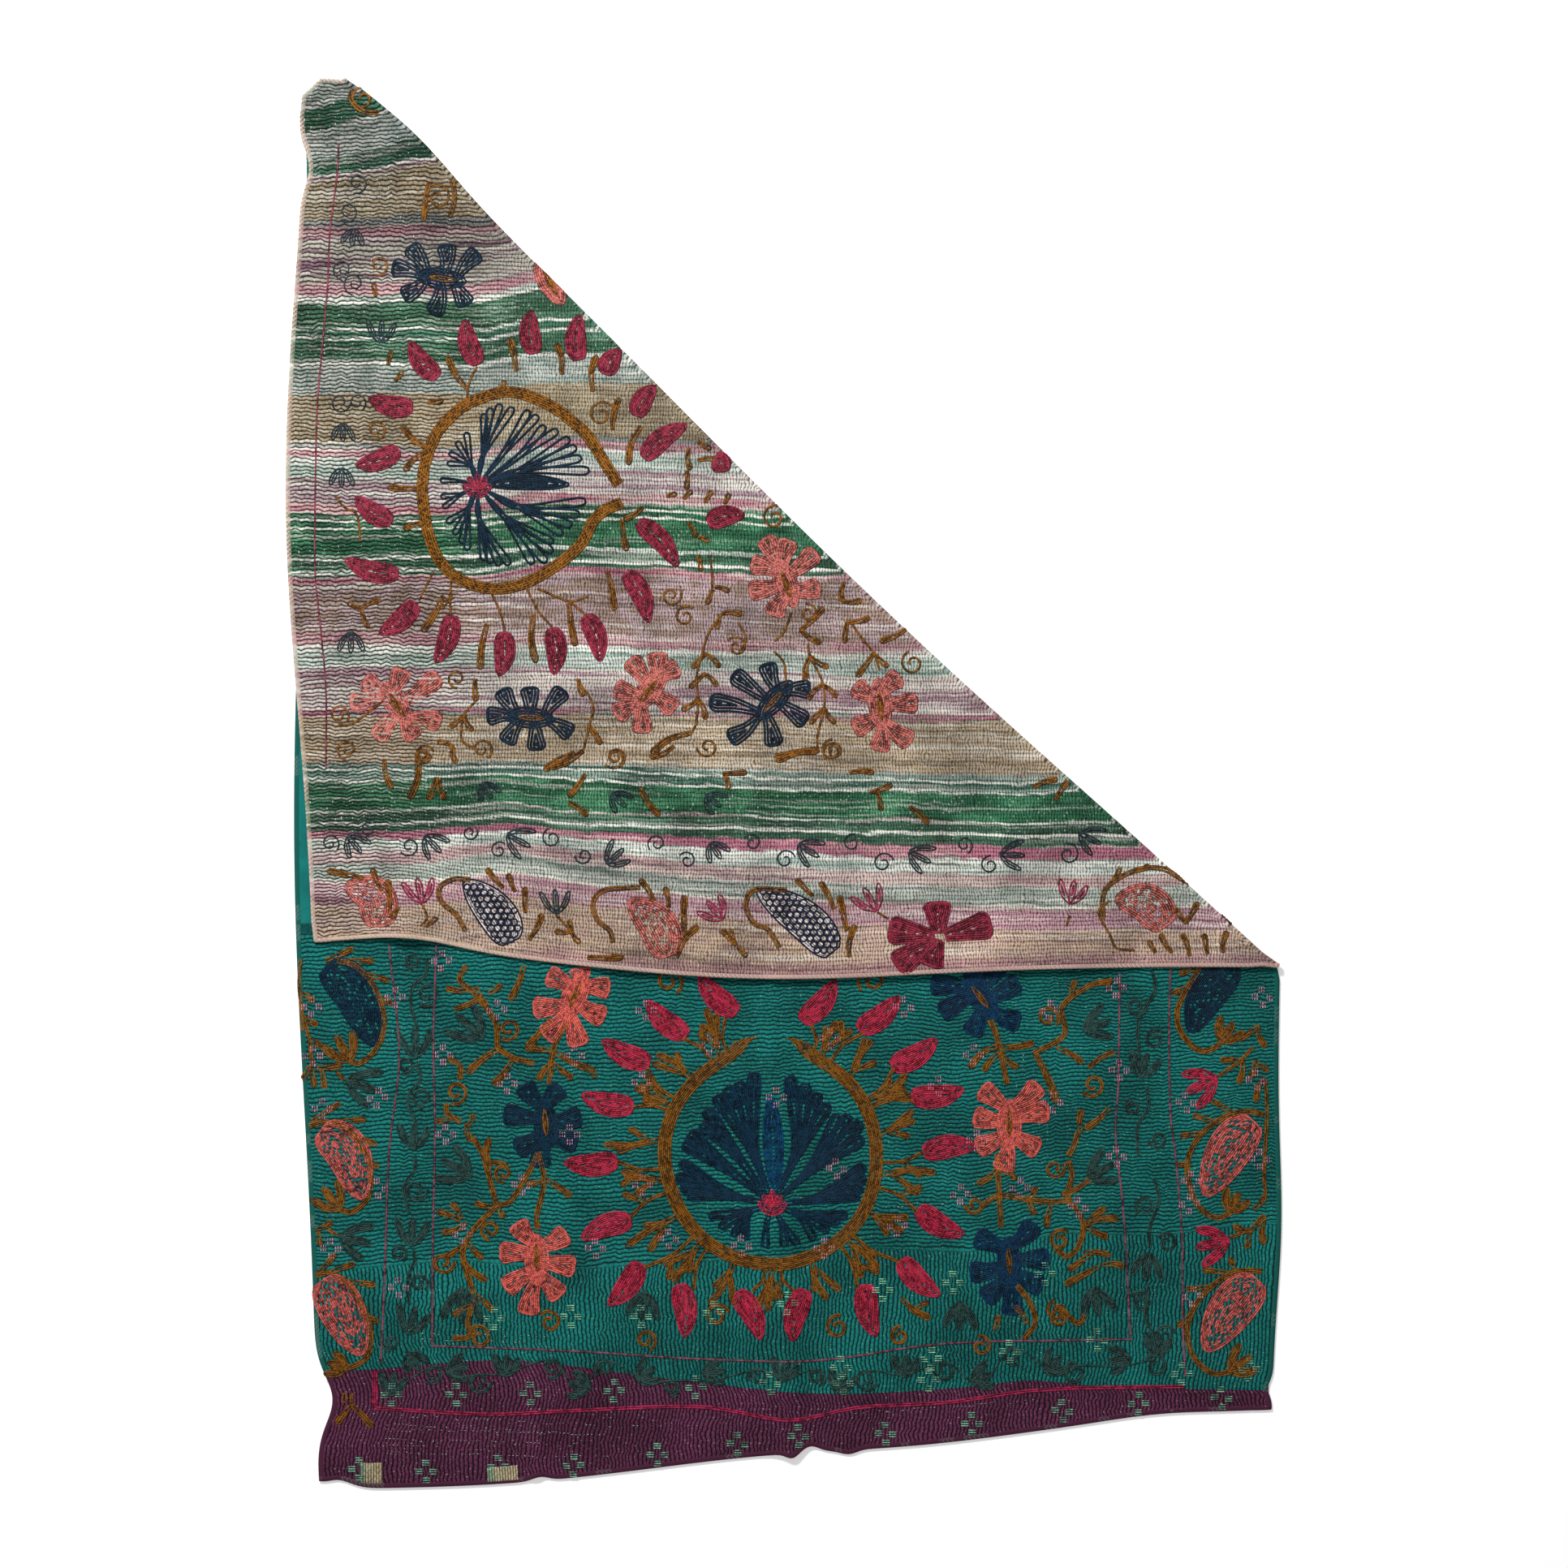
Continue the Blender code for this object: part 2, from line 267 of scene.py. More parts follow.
def laid(flat, up):
    """Carries points of the flat cloth, at heights above its back, to where they lie once folded.

    Up to the fold a point keeps its place. Over the bend it goes round a half circle. Past the bend it
    comes back, as far from the fold as it was past it, upside down. A crease doesn't sink into the floor.
    """
    offset = flat - FOLD_START
    along, across = offset @ ALONG, offset @ OUT
    turned = np.clip(across / BEND_LENGTH, 0, 1)
    radius = FOLD_GAP / 2 + THICK - up
    reach_out = radius * np.sin(math.pi * turned)
    height = THICK + FOLD_GAP / 2 - radius * np.cos(math.pi * turned)
    past, before = across > BEND_LENGTH, across < 0
    reach_out = np.where(past, BEND_LENGTH - across, np.where(before, across, reach_out))
    settled = (FOLD_GAP - LAYER_GAP) * (1 - np.exp(-((reach_out / GAP_REACH) ** 2)))
    height = height - np.where(past, settled, 0)
    shift = reach_out + sway(along, reach_out)
    place = FOLD_START + np.outer(along, ALONG) + np.outer(shift, OUT)
    height += ridge_height("base", place) + ridge_height("flap", place) * soft_step(turned)
    return np.column_stack([place, np.maximum(height, 0.3 * np.maximum(up, 0))])


def on_face(seen, lift=0.0):
    """Points on the uncovered face, given as seen from above, at a lift above its ply."""
    return np.column_stack([seen, THICK + lift + ridge_height("base", seen)])


def on_flap(seen, lift=0.0):
    """Points on the turned half's back, given as seen from above, at a lift above its ply."""
    flat = unfolded(unswayed(seen))
    return laid(flat, np.zeros(len(flat)) - lift)


def along_curve(curve, share):
    """Points at shares of a curve's length."""
    steps = np.linalg.norm(np.diff(curve, axis=0), axis=1)
    gone = np.concatenate([[0], np.cumsum(steps)])
    at = np.asarray(share) * gone[-1]
    return np.column_stack([np.interp(at, gone, curve[:, k]) for k in range(curve.shape[1])])


def height_on(curve, x):
    """The y of a curve that runs mostly along X, at each x."""
    order = np.argsort(curve[:, 0])
    return np.interp(x, curve[order, 0], curve[order, 1])


def side_on(curve, y):
    """The x of a curve that runs mostly along Y, at each y."""
    order = np.argsort(curve[:, 1])
    return np.interp(y, curve[order, 1], curve[order, 0])


# The edges of the flat cloth, and those of the turned half as it lies.
EDGE_TAIL = 12
FOLD_LINE = np.array([FOLD_START, FOLD_END])
LEFT_EDGE = edge_curve("left", SHOULDER, BOTTOM_LEFT)
LEFT_OF_BAND = edge_curve("left", SHOULDER, BOTTOM_LEFT, SEAM_ON_LEFT)
RIGHT_EDGE = np.vstack([edge_curve("right", BOTTOM_RIGHT, FOLD_FOOT)[:-EDGE_TAIL], FOLD_END, FOLD_START])
RIGHT_OF_BAND = edge_curve("right", BOTTOM_RIGHT, FOLD_FOOT, 0.0, SEAM_ON_RIGHT)
BOTTOM = edge_curve("bottom", BOTTOM_LEFT, BOTTOM_RIGHT)
SEAM = edge_curve("seam", LEFT_OF_BAND[0], RIGHT_OF_BAND[-1])
SEAM_LENGTH = float(np.linalg.norm(np.diff(SEAM, axis=0), axis=1).sum())
FLAP_LEFT = edge_curve("flap_left", SHOULDER + OVERHANG, FLAP_CORNER)
FLAP_BOTTOM = np.vstack([edge_curve("flap_bottom", FLAP_CORNER, FOLD_FOOT)[:-EDGE_TAIL], FOLD_END])
# Above this level the turned half's ripples run level.
FLAP_EVEN = 0.10


def fold_x(y):
    """The x of the line where the bend starts, at each y."""
    return FOLD_START[0] + ALONG[0] * (y - FOLD_START[1]) / ALONG[1]


def ripple_places(length, pitch):
    """Places of mesh rows over a length, four a ripple, with their share of a ripple and their height."""
    count = max(round(length / pitch), 1)
    shares = np.array([share for share, _ in RIPPLE_ROWS])
    tops = np.array([top for _, top in RIPPLE_ROWS])
    phase = (np.arange(count)[:, None] + shares).ravel()
    phase, top = np.append(phase, count), np.append(np.tile(tops, count), 0.0)
    return phase / count, phase, top


# The quilting's coordinates where cloth is plain: the middle of a ripple, between two stitches.
PLAIN = (0.5, 0.5, 0.0)


class Sheet:
    """One ply's mesh: rows of flat points, and triangles that join each row to the next.

    Every point has its height above its ply and the quilting's own coordinates, for the material:
    columns of stitches across, ripples along, and how strong the ripple is there.
    """

    def __init__(self):
        self.flat, self.lift, self.quilt, self.faces = [], [], [], []
        self.count = 0

    def row(self, flat, order, lift=None, quilt=None):
        """Adds a row of points with the values that order them along it, and returns its numbers and both."""
        number = len(flat)
        self.flat.append(flat)
        self.lift.append(np.zeros(number) if lift is None else lift)
        self.quilt.append(np.tile(PLAIN, (number, 1)) if quilt is None else quilt)
        self.count += number
        return np.arange(self.count - number, self.count), np.asarray(order), flat

    def join(self, low, high):
        """Joins two rows: each step of one is a triangle with the point of the other that it faces."""
        (ids_a, at_a), (ids_b, at_b) = low[:2], high[:2]
        mid_a, mid_b = (at_a[1:] + at_a[:-1]) / 2, (at_b[1:] + at_b[:-1]) / 2
        to_b = np.searchsorted(mid_b, mid_a)
        to_a = np.searchsorted(mid_a, mid_b, side="right")
        self.faces.append(np.column_stack([ids_a[:-1], ids_a[1:], ids_b[to_b]]))
        self.faces.append(np.column_stack([ids_b[1:], ids_b[:-1], ids_a[to_a]]))

    def joined(self, rows):
        for low, high in zip(rows[:-1], rows[1:]):
            self.join(low, high)

    def end_line(self, rows):
        """The last points of rows that end at the fold, as a row of their own that runs down the fold."""
        ids = np.array([row[0][-1] for row in reversed(rows)])
        flat = np.array([row[2][-1] for row in reversed(rows)])
        return ids, (flat - FOLD_START) @ ALONG, flat

    def bend(self, base_rows, flap_rows, steps, follow_flap):
        """Carries the mesh round the bend, between rows that end at its two sides.

        The lines in between have the points of one side, with its ripples.
        """
        base, flap = self.end_line(base_rows), self.end_line(flap_rows)
        source = flap if follow_flap else base
        lift, quilt = np.concatenate(self.lift)[source[0]], np.vstack(self.quilt)[source[0]]
        lines = [base]
        for i in range(1, steps):
            across = BEND_LENGTH * i / steps
            flat = FOLD_START + np.outer(source[1], ALONG) + OUT * across
            lines.append(self.row(flat, source[1], lift * (i / steps), quilt))
        self.joined(lines + [flap])

    def finished(self, up, side):
        """The flat and the folded points, the triangles, all facing outwards, and the quilting.

        up is the ply's height above the cloth's back, and side is 1 for its face and -1 for its back.
        """
        flat, lift = np.vstack(self.flat), np.concatenate(self.lift)
        faces = np.vstack(self.faces)
        a, b, c = flat[faces[:, 0]], flat[faces[:, 1]], flat[faces[:, 2]]
        area = (b - a)[:, 0] * (c - a)[:, 1] - (b - a)[:, 1] * (c - a)[:, 0]
        faces, area = faces[np.abs(area) > 1e-12], area[np.abs(area) > 1e-12]
        turned = area * side < 0
        faces[turned] = faces[turned][:, ::-1]
        return flat, laid(flat, up + side * lift), faces, np.vstack(self.quilt)


def quilted(flat, phase, top, axis, fade, lift_fade, seed):
    """Takes a row of points into the quilting: where they move, their height, and their quilting coordinates.

    The ripples run along one axis. A ripple sways by noise of two sizes and by a small zigzag from column
    to column of stitches, and its height falls and rises along it.
    """
    p = cloth()
    run, level = flat[:, axis], flat[:, 1 - axis]
    phase = np.broadcast_to(phase, run.shape)
    wide = noise(run, level, 0.060, 0.045, seed) * 0.60
    near = noise(run, level, 0.0115, 0.015, seed + 1) * 0.42
    zigzag = np.abs((run / p.column) % 2 - 1) * 0.34 - 0.17
    strength = 0.66 + 0.34 * noise(run, np.floor(phase + 0.0001), 0.016, 1.0, seed + 2)
    strength = strength * (0.80 + 0.20 * noise(run, level, 0.10, 0.06, seed + 3)) * lift_fade
    moved = flat.copy()
    moved[:, 1 - axis] += (wide + near + zigzag) * p.ripple * fade
    return moved, p.puff * top * strength, np.column_stack([run / p.column, phase, strength])


def columns(low, high, cell, extra=()):
    """Places from low to high at whole cells, with the two ends and some more from the low end on."""
    first, last = math.ceil(low / cell + 0.3), math.floor(high / cell - 0.3)
    inner = np.arange(first, last + 1) * cell
    return np.unique(np.concatenate([[low, high], low + np.array(extra), inner]))


def end_fade(run, reach=0.010):
    """0 at both ends of a row and 1 away from them."""
    return soft_step(np.minimum(run - run[0], run[-1] - run) / reach)


def coons(low, high, left, right, at, shares):
    """Rows of points between four curves: the mix of low and high, plus that of the sides, less the corners'."""
    low, high = along_curve(low, at), along_curve(high, at)
    left, right = along_curve(left, shares), along_curve(right, shares)
    t, rows = at[:, None], []
    for i, s in enumerate(shares):
        across = low * (1 - s) + high * s
        beside = left[i] * (1 - t) + right[i] * t
        corners = (low[0] * (1 - t) + low[-1] * t) * (1 - s) + (high[0] * (1 - t) + high[-1] * t) * s
        rows.append(across + beside - corners)
    return rows


def upright_rows(sheet, low, high, left, right, count, seed, fades):
    """Rows of a patch whose ripples run up and down, with the columns that the seam's length asks for."""
    at, phase, top = ripple_places(SEAM_LENGTH, cloth().ripple)
    rows = []
    for flat, fade in zip(coons(low, high, left, right, at, np.linspace(0, 1, count + 1)), fades):
        ends = end_fade(flat[:, 0])
        moved, lift, quilt = quilted(flat, phase, top, 1, ends * fade, ends * (0.25 + 0.75 * fade), seed)
        rows.append(sheet.row(moved, flat[:, 0], lift, quilt))
    return rows


def straight_row(sheet, left, right, cell, extra=()):
    """A plain row between two places."""
    x = columns(left[0], right[0], cell, extra)
    y = np.interp(x, (left[0], right[0]), (left[1], right[1]))
    return sheet.row(np.column_stack([x, y]), x)


def plain_rows(sheet, left, right, spacing, cell, extra=(), skip_first=False):
    """Plain rows between two side curves, which hold the same number of steps."""
    length = max(np.linalg.norm(np.diff(curve, axis=0), axis=1).sum() for curve in (left, right))
    shares = np.linspace(0, 1, max(round(length / spacing), 1) + 1)[int(skip_first):]
    ends = zip(along_curve(left, shares), along_curve(right, shares))
    return [straight_row(sheet, a, b, cell, extra) for a, b in ends]


def between(curve, low, high):
    """The stretch of a curve that runs along Y between two levels, from the lower one up."""
    order = curve[np.argsort(curve[:, 1])]
    inner = order[(order[:, 1] > low + 1e-6) & (order[:, 1] < high - 1e-6)]
    ends = np.array([(side_on(curve, y), y) for y in (low, high)])
    return np.vstack([ends[:1], inner, ends[1:]])


def upper_rows(sheet, low_level, spacing, cell, extra=(), skip_first=False):
    """Plain rows of the lower half's hidden part, from a level up to the tip."""
    rows = plain_rows(
        sheet, between(LEFT_EDGE, low_level, SHOULDER[1]), between(RIGHT_EDGE, low_level, SHOULDER[1]),
        spacing, cell, extra, skip_first,
    )
    tip_left, tip_right = np.array([SHOULDER, TIP_ROUND]), between(RIGHT_EDGE, SHOULDER[1], FOLD_START[1])
    return rows + plain_rows(sheet, tip_left, tip_right, spacing / 2, cell, (), True)


def crossed_share(seen):
    """How far the turned half's quilting runs up and down at a place: not along the left, and in patches."""
    x, y = seen[:, 0], seen[:, 1]
    return soft_step((x + 0.50 + 0.10 * noise(x, y, 0.16, 0.20, 35)) / 0.16 + 0.5) * (0.86 + 0.14 * noise(x, y, 0.1, 0.1, 36))


def turned_rows(sheet, shown):
    """Rows of the turned half, worked out as it lies and then opened out flat.

    Above its hem the rows bend with it, and grow straight towards a level. Past the shoulder they end
    on the rounded tip. Where it shows, four rows make a ripple, and otherwise the rows are plain.
    """
    p = cloth()
    tall = FLAP_LEFT[0, 1] - FLAP_EVEN
    hem_left, hem_right = between(FLAP_LEFT, FLAP_CORNER[1], FLAP_EVEN), between(FOLD_LINE, FOLD_END[1], FLAP_EVEN)
    even = np.array([hem_left[-1], hem_right[-1]])
    rise = FLAP_EVEN - FLAP_BOTTOM[:, 1].mean()
    pitch = p.ripple if shown else p.coarse * 4
    at, phase, top = ripple_places(rise, pitch)
    fine = np.linspace(0, 1, 241)
    lines = coons(FLAP_BOTTOM, even, hem_left, hem_right, fine, at)
    phases, tops = [phase], [top]
    at, phase, top = ripple_places(tall, pitch)
    levels = FLAP_EVEN + at[1:] * tall
    for y in levels:
        lines.append(np.array([(side_on(FLAP_LEFT, y), y), (fold_x(y), y)]))
    phases.append(phase[1:] + phases[-1][-1])
    tops.append(top[1:])
    tip_left, tip_right = np.array([FLAP_LEFT[0], TIP_ROUND + OVERHANG]), between(FOLD_LINE, FLAP_LEFT[0, 1], FOLD_START[1])
    at, phase, top = ripple_places(0.025, pitch)
    lines += [np.array(ends) for ends in zip(along_curve(tip_left, at[1:]), along_curve(tip_right, at[1:]))]
    phases.append(phase[1:] + phases[-1][-1])
    tops.append(top[1:])
    phases, tops = np.concatenate(phases), np.concatenate(tops)
    rows = []
    for i, line in enumerate(lines):
        x = columns(line[0, 0], line[-1, 0], p.cell * 1.12 if shown else p.coarse)
        seen = np.column_stack([x, np.interp(x, line[:, 0], line[:, 1])])
        if not shown:
            rows.append(sheet.row(unfolded(seen), x))
            continue
        edge = soft_step(min(i, len(lines) - 1 - i) / 6)
        left_fade = soft_step((x - x[0]) / 0.012)
        crossed = crossed_share(seen)
        level_share = 1 - 0.80 * crossed
        fades = end_fade(x) * edge * level_share, left_fade * edge * level_share
        moved, lift, quilt = quilted(seen, phases[i], tops[i], 0, *fades, 31)
        quilt[:, 2] = crossed
        rows.append(sheet.row(unfolded(moved), x, lift, quilt))
    return rows


def turn_level(x):
    """The level at which the ripples turn, at a place across the face."""
    curve = np.array(TURN_CURVE)
    return np.interp(x, curve[:, 0], curve[:, 1])


def face_panel_mesh():
    """The teal panel: ripples up and down above the seam, across above that, and plain where it is hidden."""
    p = cloth()
    sheet = Sheet()
    lowest = SEAM + np.array((0, PLY_GAP / 2))
    turns = TURN_CURVE[0][1], TURN_CURVE[-1][1]
    left = between(LEFT_EDGE, lowest[0, 1], turns[0])
    right = between(RIGHT_EDGE, lowest[-1, 1], turns[1])
    across = np.linspace(left[-1, 0], right[-1, 0], 121)
    turn = np.column_stack([across, turn_level(across)])
    count = 24
    fades = soft_step(np.minimum(np.arange(count + 1) / 1.5, (count - np.arange(count + 1)) / 2.0))
    rows = upright_rows(sheet, lowest, turn, left, right, count, 11, fades)
    tall = HIDDEN_LINE - sum(turns) / 2
    at, phases, tops = ripple_places(tall, p.ripple)
    for share, phase, top in zip(at, phases, tops):
        levels = np.array(turns) * (1 - share) + HIDDEN_LINE * share
        x = columns(float(side_on(LEFT_EDGE, levels[0])), float(side_on(RIGHT_EDGE, levels[1])), p.cell)
        flat = np.column_stack([x, turn_level(x) * (1 - share) + HIDDEN_LINE * share])
        edge = soft_step(min(share, 1 - share) * tall / 0.009)
        ends = end_fade(x)
        moved, lift, quilt = quilted(flat, phase, top, 0, ends * edge, ends * edge, 21)
        if share > 0:
            rows.append(sheet.row(moved, x, lift, quilt))
    hidden = upper_rows(sheet, HIDDEN_LINE, p.coarse, p.coarse, (0.006, 0.012, 0.018), True)
    sheet.joined(rows + hidden)
    at_fold = [row for row in rows if row[2][-1][1] > FOLD_END[1] - 0.0005] + hidden
    flap = turned_rows(sheet, False)
    sheet.joined(flap)
    sheet.bend(at_fold, flap, 5, False)
    return sheet.finished(THICK, 1)


def end_band_mesh():
    """The plum band: ripples up and down between the bottom edge and the seam."""
    sheet = Sheet()
    highest = SEAM - np.array((0, PLY_GAP / 2))
    left = between(LEFT_EDGE, BOTTOM_LEFT[1], highest[0, 1])
    right = between(RIGHT_EDGE, BOTTOM_RIGHT[1], highest[-1, 1])
    count = 20
    fades = soft_step(np.minimum(np.arange(count + 1) / 1.0, (count - np.arange(count + 1)) / 1.5))
    sheet.joined(upright_rows(sheet, BOTTOM, highest, left, right, count, 12, fades))
    return sheet.finished(THICK, 1)


def backing_mesh():
    """The striped back: plain under the lower half, and rippled on the turned half, where it shows."""
    p = cloth()
    sheet = Sheet()
    foot = FOLD_END[1]
    left, right = between(LEFT_EDGE, BOTTOM_LEFT[1], foot), between(RIGHT_EDGE, BOTTOM_RIGHT[1], foot)
    level = np.array([left[-1], right[-1]])
    at = np.linspace(0, 1, 121)
    rows = [sheet.row(flat, flat[:, 0]) for flat in coons(BOTTOM, level, left, right, at, np.linspace(0, 1, 33))]
    upper = upper_rows(sheet, foot, p.coarse, p.coarse, (), True)
    sheet.joined(rows + upper)
    at_fold = rows[-1:] + upper
    flap = turned_rows(sheet, True)
    sheet.joined(flap)
    sheet.bend(at_fold, flap, 8, True)
    return sheet.finished(0.0, -1)


def mend_mesh(middle, half_wide, half_high, slant, across=24, down=12):
    """A mend: a grid that lies flat with its edges sewn down, and rippled like the quilting under it.

    Its height drops to the ply at the edges. It is cream, with a green stripe down its left end.
    """
    u, v = (part.ravel() for part in np.meshgrid(np.linspace(-1, 1, across + 1), np.linspace(-1, 1, down + 1)))
    ragged = 0.0012 * noise(u * 9, v * 9, 1.0, 1.0, 91) * np.maximum(np.abs(u), np.abs(v)) ** 4
    step = np.outer(u * half_wide, polar(slant, 1.0)) + np.outer(v * half_high, polar(slant + 90, 1.0))
    seen = middle + step * (1 - np.abs(ragged) / half_high)[:, None]
    sewn = soft_step((1 - np.maximum(np.abs(u), np.abs(v))) / 0.16)
    column = u * half_wide / 0.0040
    lift = PLY_GAP + MEND_THICK * (0.25 + 0.60 * sewn) + 0.0007 * sewn * np.abs(np.sin(math.pi * column))
    quilt = np.column_stack([v * half_high / cloth().column, column, sewn])
    green = soft_step((-0.55 - u + 0.3 * noise(u * 9, v * 9, 2.0, 1.0, 92)) / 0.3 + 0.5)[:, None]
    colours = linear("#b9ab8c") * (1 - green) + linear("#7f9a80") * green
    colours = colours * (1 + 0.25 * noise(u * 12, v * 12, 2.0, 2.0, 93))[:, None]
    ids = np.arange(len(u)).reshape(down + 1, across + 1)
    faces = np.stack([ids[:-1, :-1], ids[:-1, 1:], ids[1:, 1:], ids[1:, :-1]], -1).reshape(-1, 4)
    return on_face(seen, lift), faces, quilt, np.column_stack([colours, np.ones(len(u))])


def mesh_piece(name, points, faces, material, **values):
    """An object from whole arrays of points and faces, with named values on its points, for the material."""
    mesh = bpy.data.meshes.new(name)
    faces = np.asarray(faces, np.int32)
    mesh.vertices.add(len(points))
    mesh.vertices.foreach_set("co", np.asarray(points, np.float32).ravel())
    mesh.loops.add(faces.size)
    mesh.loops.foreach_set("vertex_index", faces.ravel())
    mesh.polygons.add(len(faces))
    mesh.polygons.foreach_set("loop_start", np.arange(0, faces.size, faces.shape[1], dtype=np.int32))
    mesh.polygons.foreach_set("use_smooth", np.ones(len(faces), bool))
    mesh.update(calc_edges=True)
    for key, value in values.items():
        value = np.asarray(value, np.float32)
        kind = "FLOAT" if value.ndim == 1 else {3: "FLOAT_VECTOR", 4: "FLOAT_COLOR"}[value.shape[1]]
        field = {"FLOAT": "value", "FLOAT_VECTOR": "vector", "FLOAT_COLOR": "color"}[kind]
        mesh.attributes.new(key, kind, "POINT").data.foreach_set(field, value.ravel())
    mesh.materials.append(material)
    piece = bpy.data.objects.new(name, mesh)
    bpy.context.scene.collection.objects.link(piece)
    return piece


def linear(code):
    """The linear colour of an sRGB hex value."""
    shares = np.array([int(code[i:i + 2], 16) / 255 for i in (1, 3, 5)])
    return np.where(shares <= 0.04045, shares / 12.92, ((shares + 0.055) / 1.055) ** 2.4)


def node(tree, kind, settings=None, **links):
    """Adds a node with its settings, and links or sets its inputs, named or numbered as in_0, in_1 and so on."""
    made = tree.nodes.new(kind)
    for key, value in (settings or {}).items():
        setattr(made, key, value)
    for key, value in links.items():
        slot = made.inputs[int(key[3:])] if key.startswith("in_") else made.inputs[key.replace("_", " ")]
        if isinstance(value, bpy.types.NodeSocket):
            tree.links.new(value, slot)
        else:
            slot.default_value = value
    return made


def maths(tree, how, a, b=0.0, clamp=False):
    return node(tree, "ShaderNodeMath", {"operation": how, "use_clamp": clamp}, in_0=a, in_1=b).outputs[0]


def mixed(tree, share, a, b, how="MIX"):
    """A colour between two others."""
    made = node(tree, "ShaderNodeMix", {"data_type": "RGBA", "blend_type": how}, in_0=share, in_6=a, in_7=b)
    return made.outputs[2]


def rgba(code):
    return (*linear(code), 1.0)


def new_material(name, roughness):
    material = bpy.data.materials.new(name)
    material.use_nodes = True
    tree = material.node_tree
    shader = tree.nodes["Principled BSDF"]
    shader.inputs["Roughness"].default_value = roughness
    shader.inputs["Specular IOR Level"].default_value = 0.12
    return material, tree, shader


def quilted_cotton(name, colour, valley_shade_colour, stitch_and_highlight_colour, own_colour=None, crossed=False):
    """Plain woven cotton, worn soft and quilted in running stitch: matte, with painted shade darkening the valleys
    between ripples.

    The quilting's coordinates are columns across, ripples along and strength. A ripple is the absolute sine
    of its coordinate, and swells between two stitches of a row. Where stitches go in on a ridge top, specks of light
    thread show, also painted as a highlight.
    """
    material, tree, shader = new_material(name, 0.86)
    quilt = node(tree, "ShaderNodeAttribute", {"attribute_name": "quilt"}).outputs["Vector"]
    parts = node(tree, "ShaderNodeSeparateXYZ", Vector=quilt).outputs
    place = node(tree, "ShaderNodeTexCoord").outputs["Object"]
    ripple = maths(tree, "ABSOLUTE", maths(tree, "SINE", maths(tree, "MULTIPLY", parts[1], math.pi)))
    half = maths(tree, "MULTIPLY", maths(tree, "FLOOR", parts[1]), 0.5)
    column = maths(tree, "ADD", parts[0], half)
    swell = maths(tree, "ABSOLUTE", maths(tree, "SINE", maths(tree, "MULTIPLY", column, math.pi)))
    pebble = maths(tree, "MULTIPLY", ripple, node_value(tree, swell, 0.45, 0.55))
    if crossed:
        drift = node(tree, "ShaderNodeTexNoise", Vector=place, Scale=55.0, Detail=2.0).outputs["Fac"]
        turn = maths(tree, "ADD", maths(tree, "MULTIPLY", parts[0], 1.9), maths(tree, "MULTIPLY", drift, 2.6))
        upright = maths(tree, "ABSOLUTE", maths(tree, "SINE", maths(tree, "MULTIPLY", turn, math.pi)))
        upright = maths(tree, "MULTIPLY", node_value(tree, upright, 0.75, 0.25), node_value(tree, ripple, 0.35, 0.65))
        away = maths(tree, "SUBTRACT", upright, pebble)
        pebble = maths(tree, "ADD", pebble, maths(tree, "MULTIPLY", away, parts[2]))
    fade = node(tree, "ShaderNodeTexNoise", Vector=place, Scale=9.0, Detail=4.0, Roughness=0.6).outputs["Fac"]
    speck = node(tree, "ShaderNodeTexNoise", Vector=place, Scale=260.0, Detail=2.0, Roughness=0.7).outputs["Fac"]
    # Painted shade: this share darkens the cloth in the ripples' valleys, speckled by fine noise.
    shade = maths(tree, "MULTIPLY", pebble, node_value(tree, speck, 1.5, 0.25), True)
    base = own_colour(tree) if own_colour else rgba(colour)
    lit = mixed(tree, 1.0, base, soft_ramp(tree, fade, 0.70, 1.30, 0.3, 0.7), "MULTIPLY")
    # The cloth's colour under the painted valley shade.
    painted_valley_shade = mixed(tree, 1.0, lit, rgba(valley_shade_colour), "MULTIPLY")
    seen = mixed(tree, soft_ramp(tree, shade, 0.0, 1.0, 0.10, 0.85), painted_valley_shade, lit)
    # Specks of light stitch thread on the ridge tops, which also paint a highlight there.
    stitch = maths(tree, "MULTIPLY", maths(tree, "GREATER_THAN", speck, 0.60), maths(tree, "LESS_THAN", swell, 0.30))
    stitch = maths(tree, "MULTIPLY", stitch, maths(tree, "GREATER_THAN", ripple, 0.45))
    seen = mixed(tree, maths(tree, "MULTIPLY", stitch, 0.5), seen, rgba(stitch_and_highlight_colour))
    tree.links.new(seen, shader.inputs["Base Color"])
    weave = node(tree, "ShaderNodeTexNoise", Vector=place, Scale=900.0, Detail=2.0).outputs["Fac"]
    height = maths(tree, "ADD", maths(tree, "MULTIPLY", pebble, 0.9), maths(tree, "MULTIPLY", weave, 0.25))
    bump = node(tree, "ShaderNodeBump", Strength=0.55, Distance=0.0009, Height=height)
    tree.links.new(bump.outputs["Normal"], shader.inputs["Normal"])
    shader.inputs["Specular IOR Level"].default_value = 0.12
    shader.inputs["Sheen Weight"].default_value = 0.03
    shader.inputs["Sheen Roughness"].default_value = 0.5
    return material


def node_value(tree, value, times, plus):
    """A value multiplied and raised by constants."""
    return maths(tree, "ADD", maths(tree, "MULTIPLY", value, times), plus)


def soft_ramp(tree, value, low, high, start=0.0, end=1.0):
    """A value carried smoothly from one range to another."""
    settings = {"interpolation_type": "SMOOTHSTEP"}
    made = node(tree, "ShaderNodeMapRange", settings, Value=value, in_1=start, in_2=end, in_3=low, in_4=high)
    return made.outputs[0]


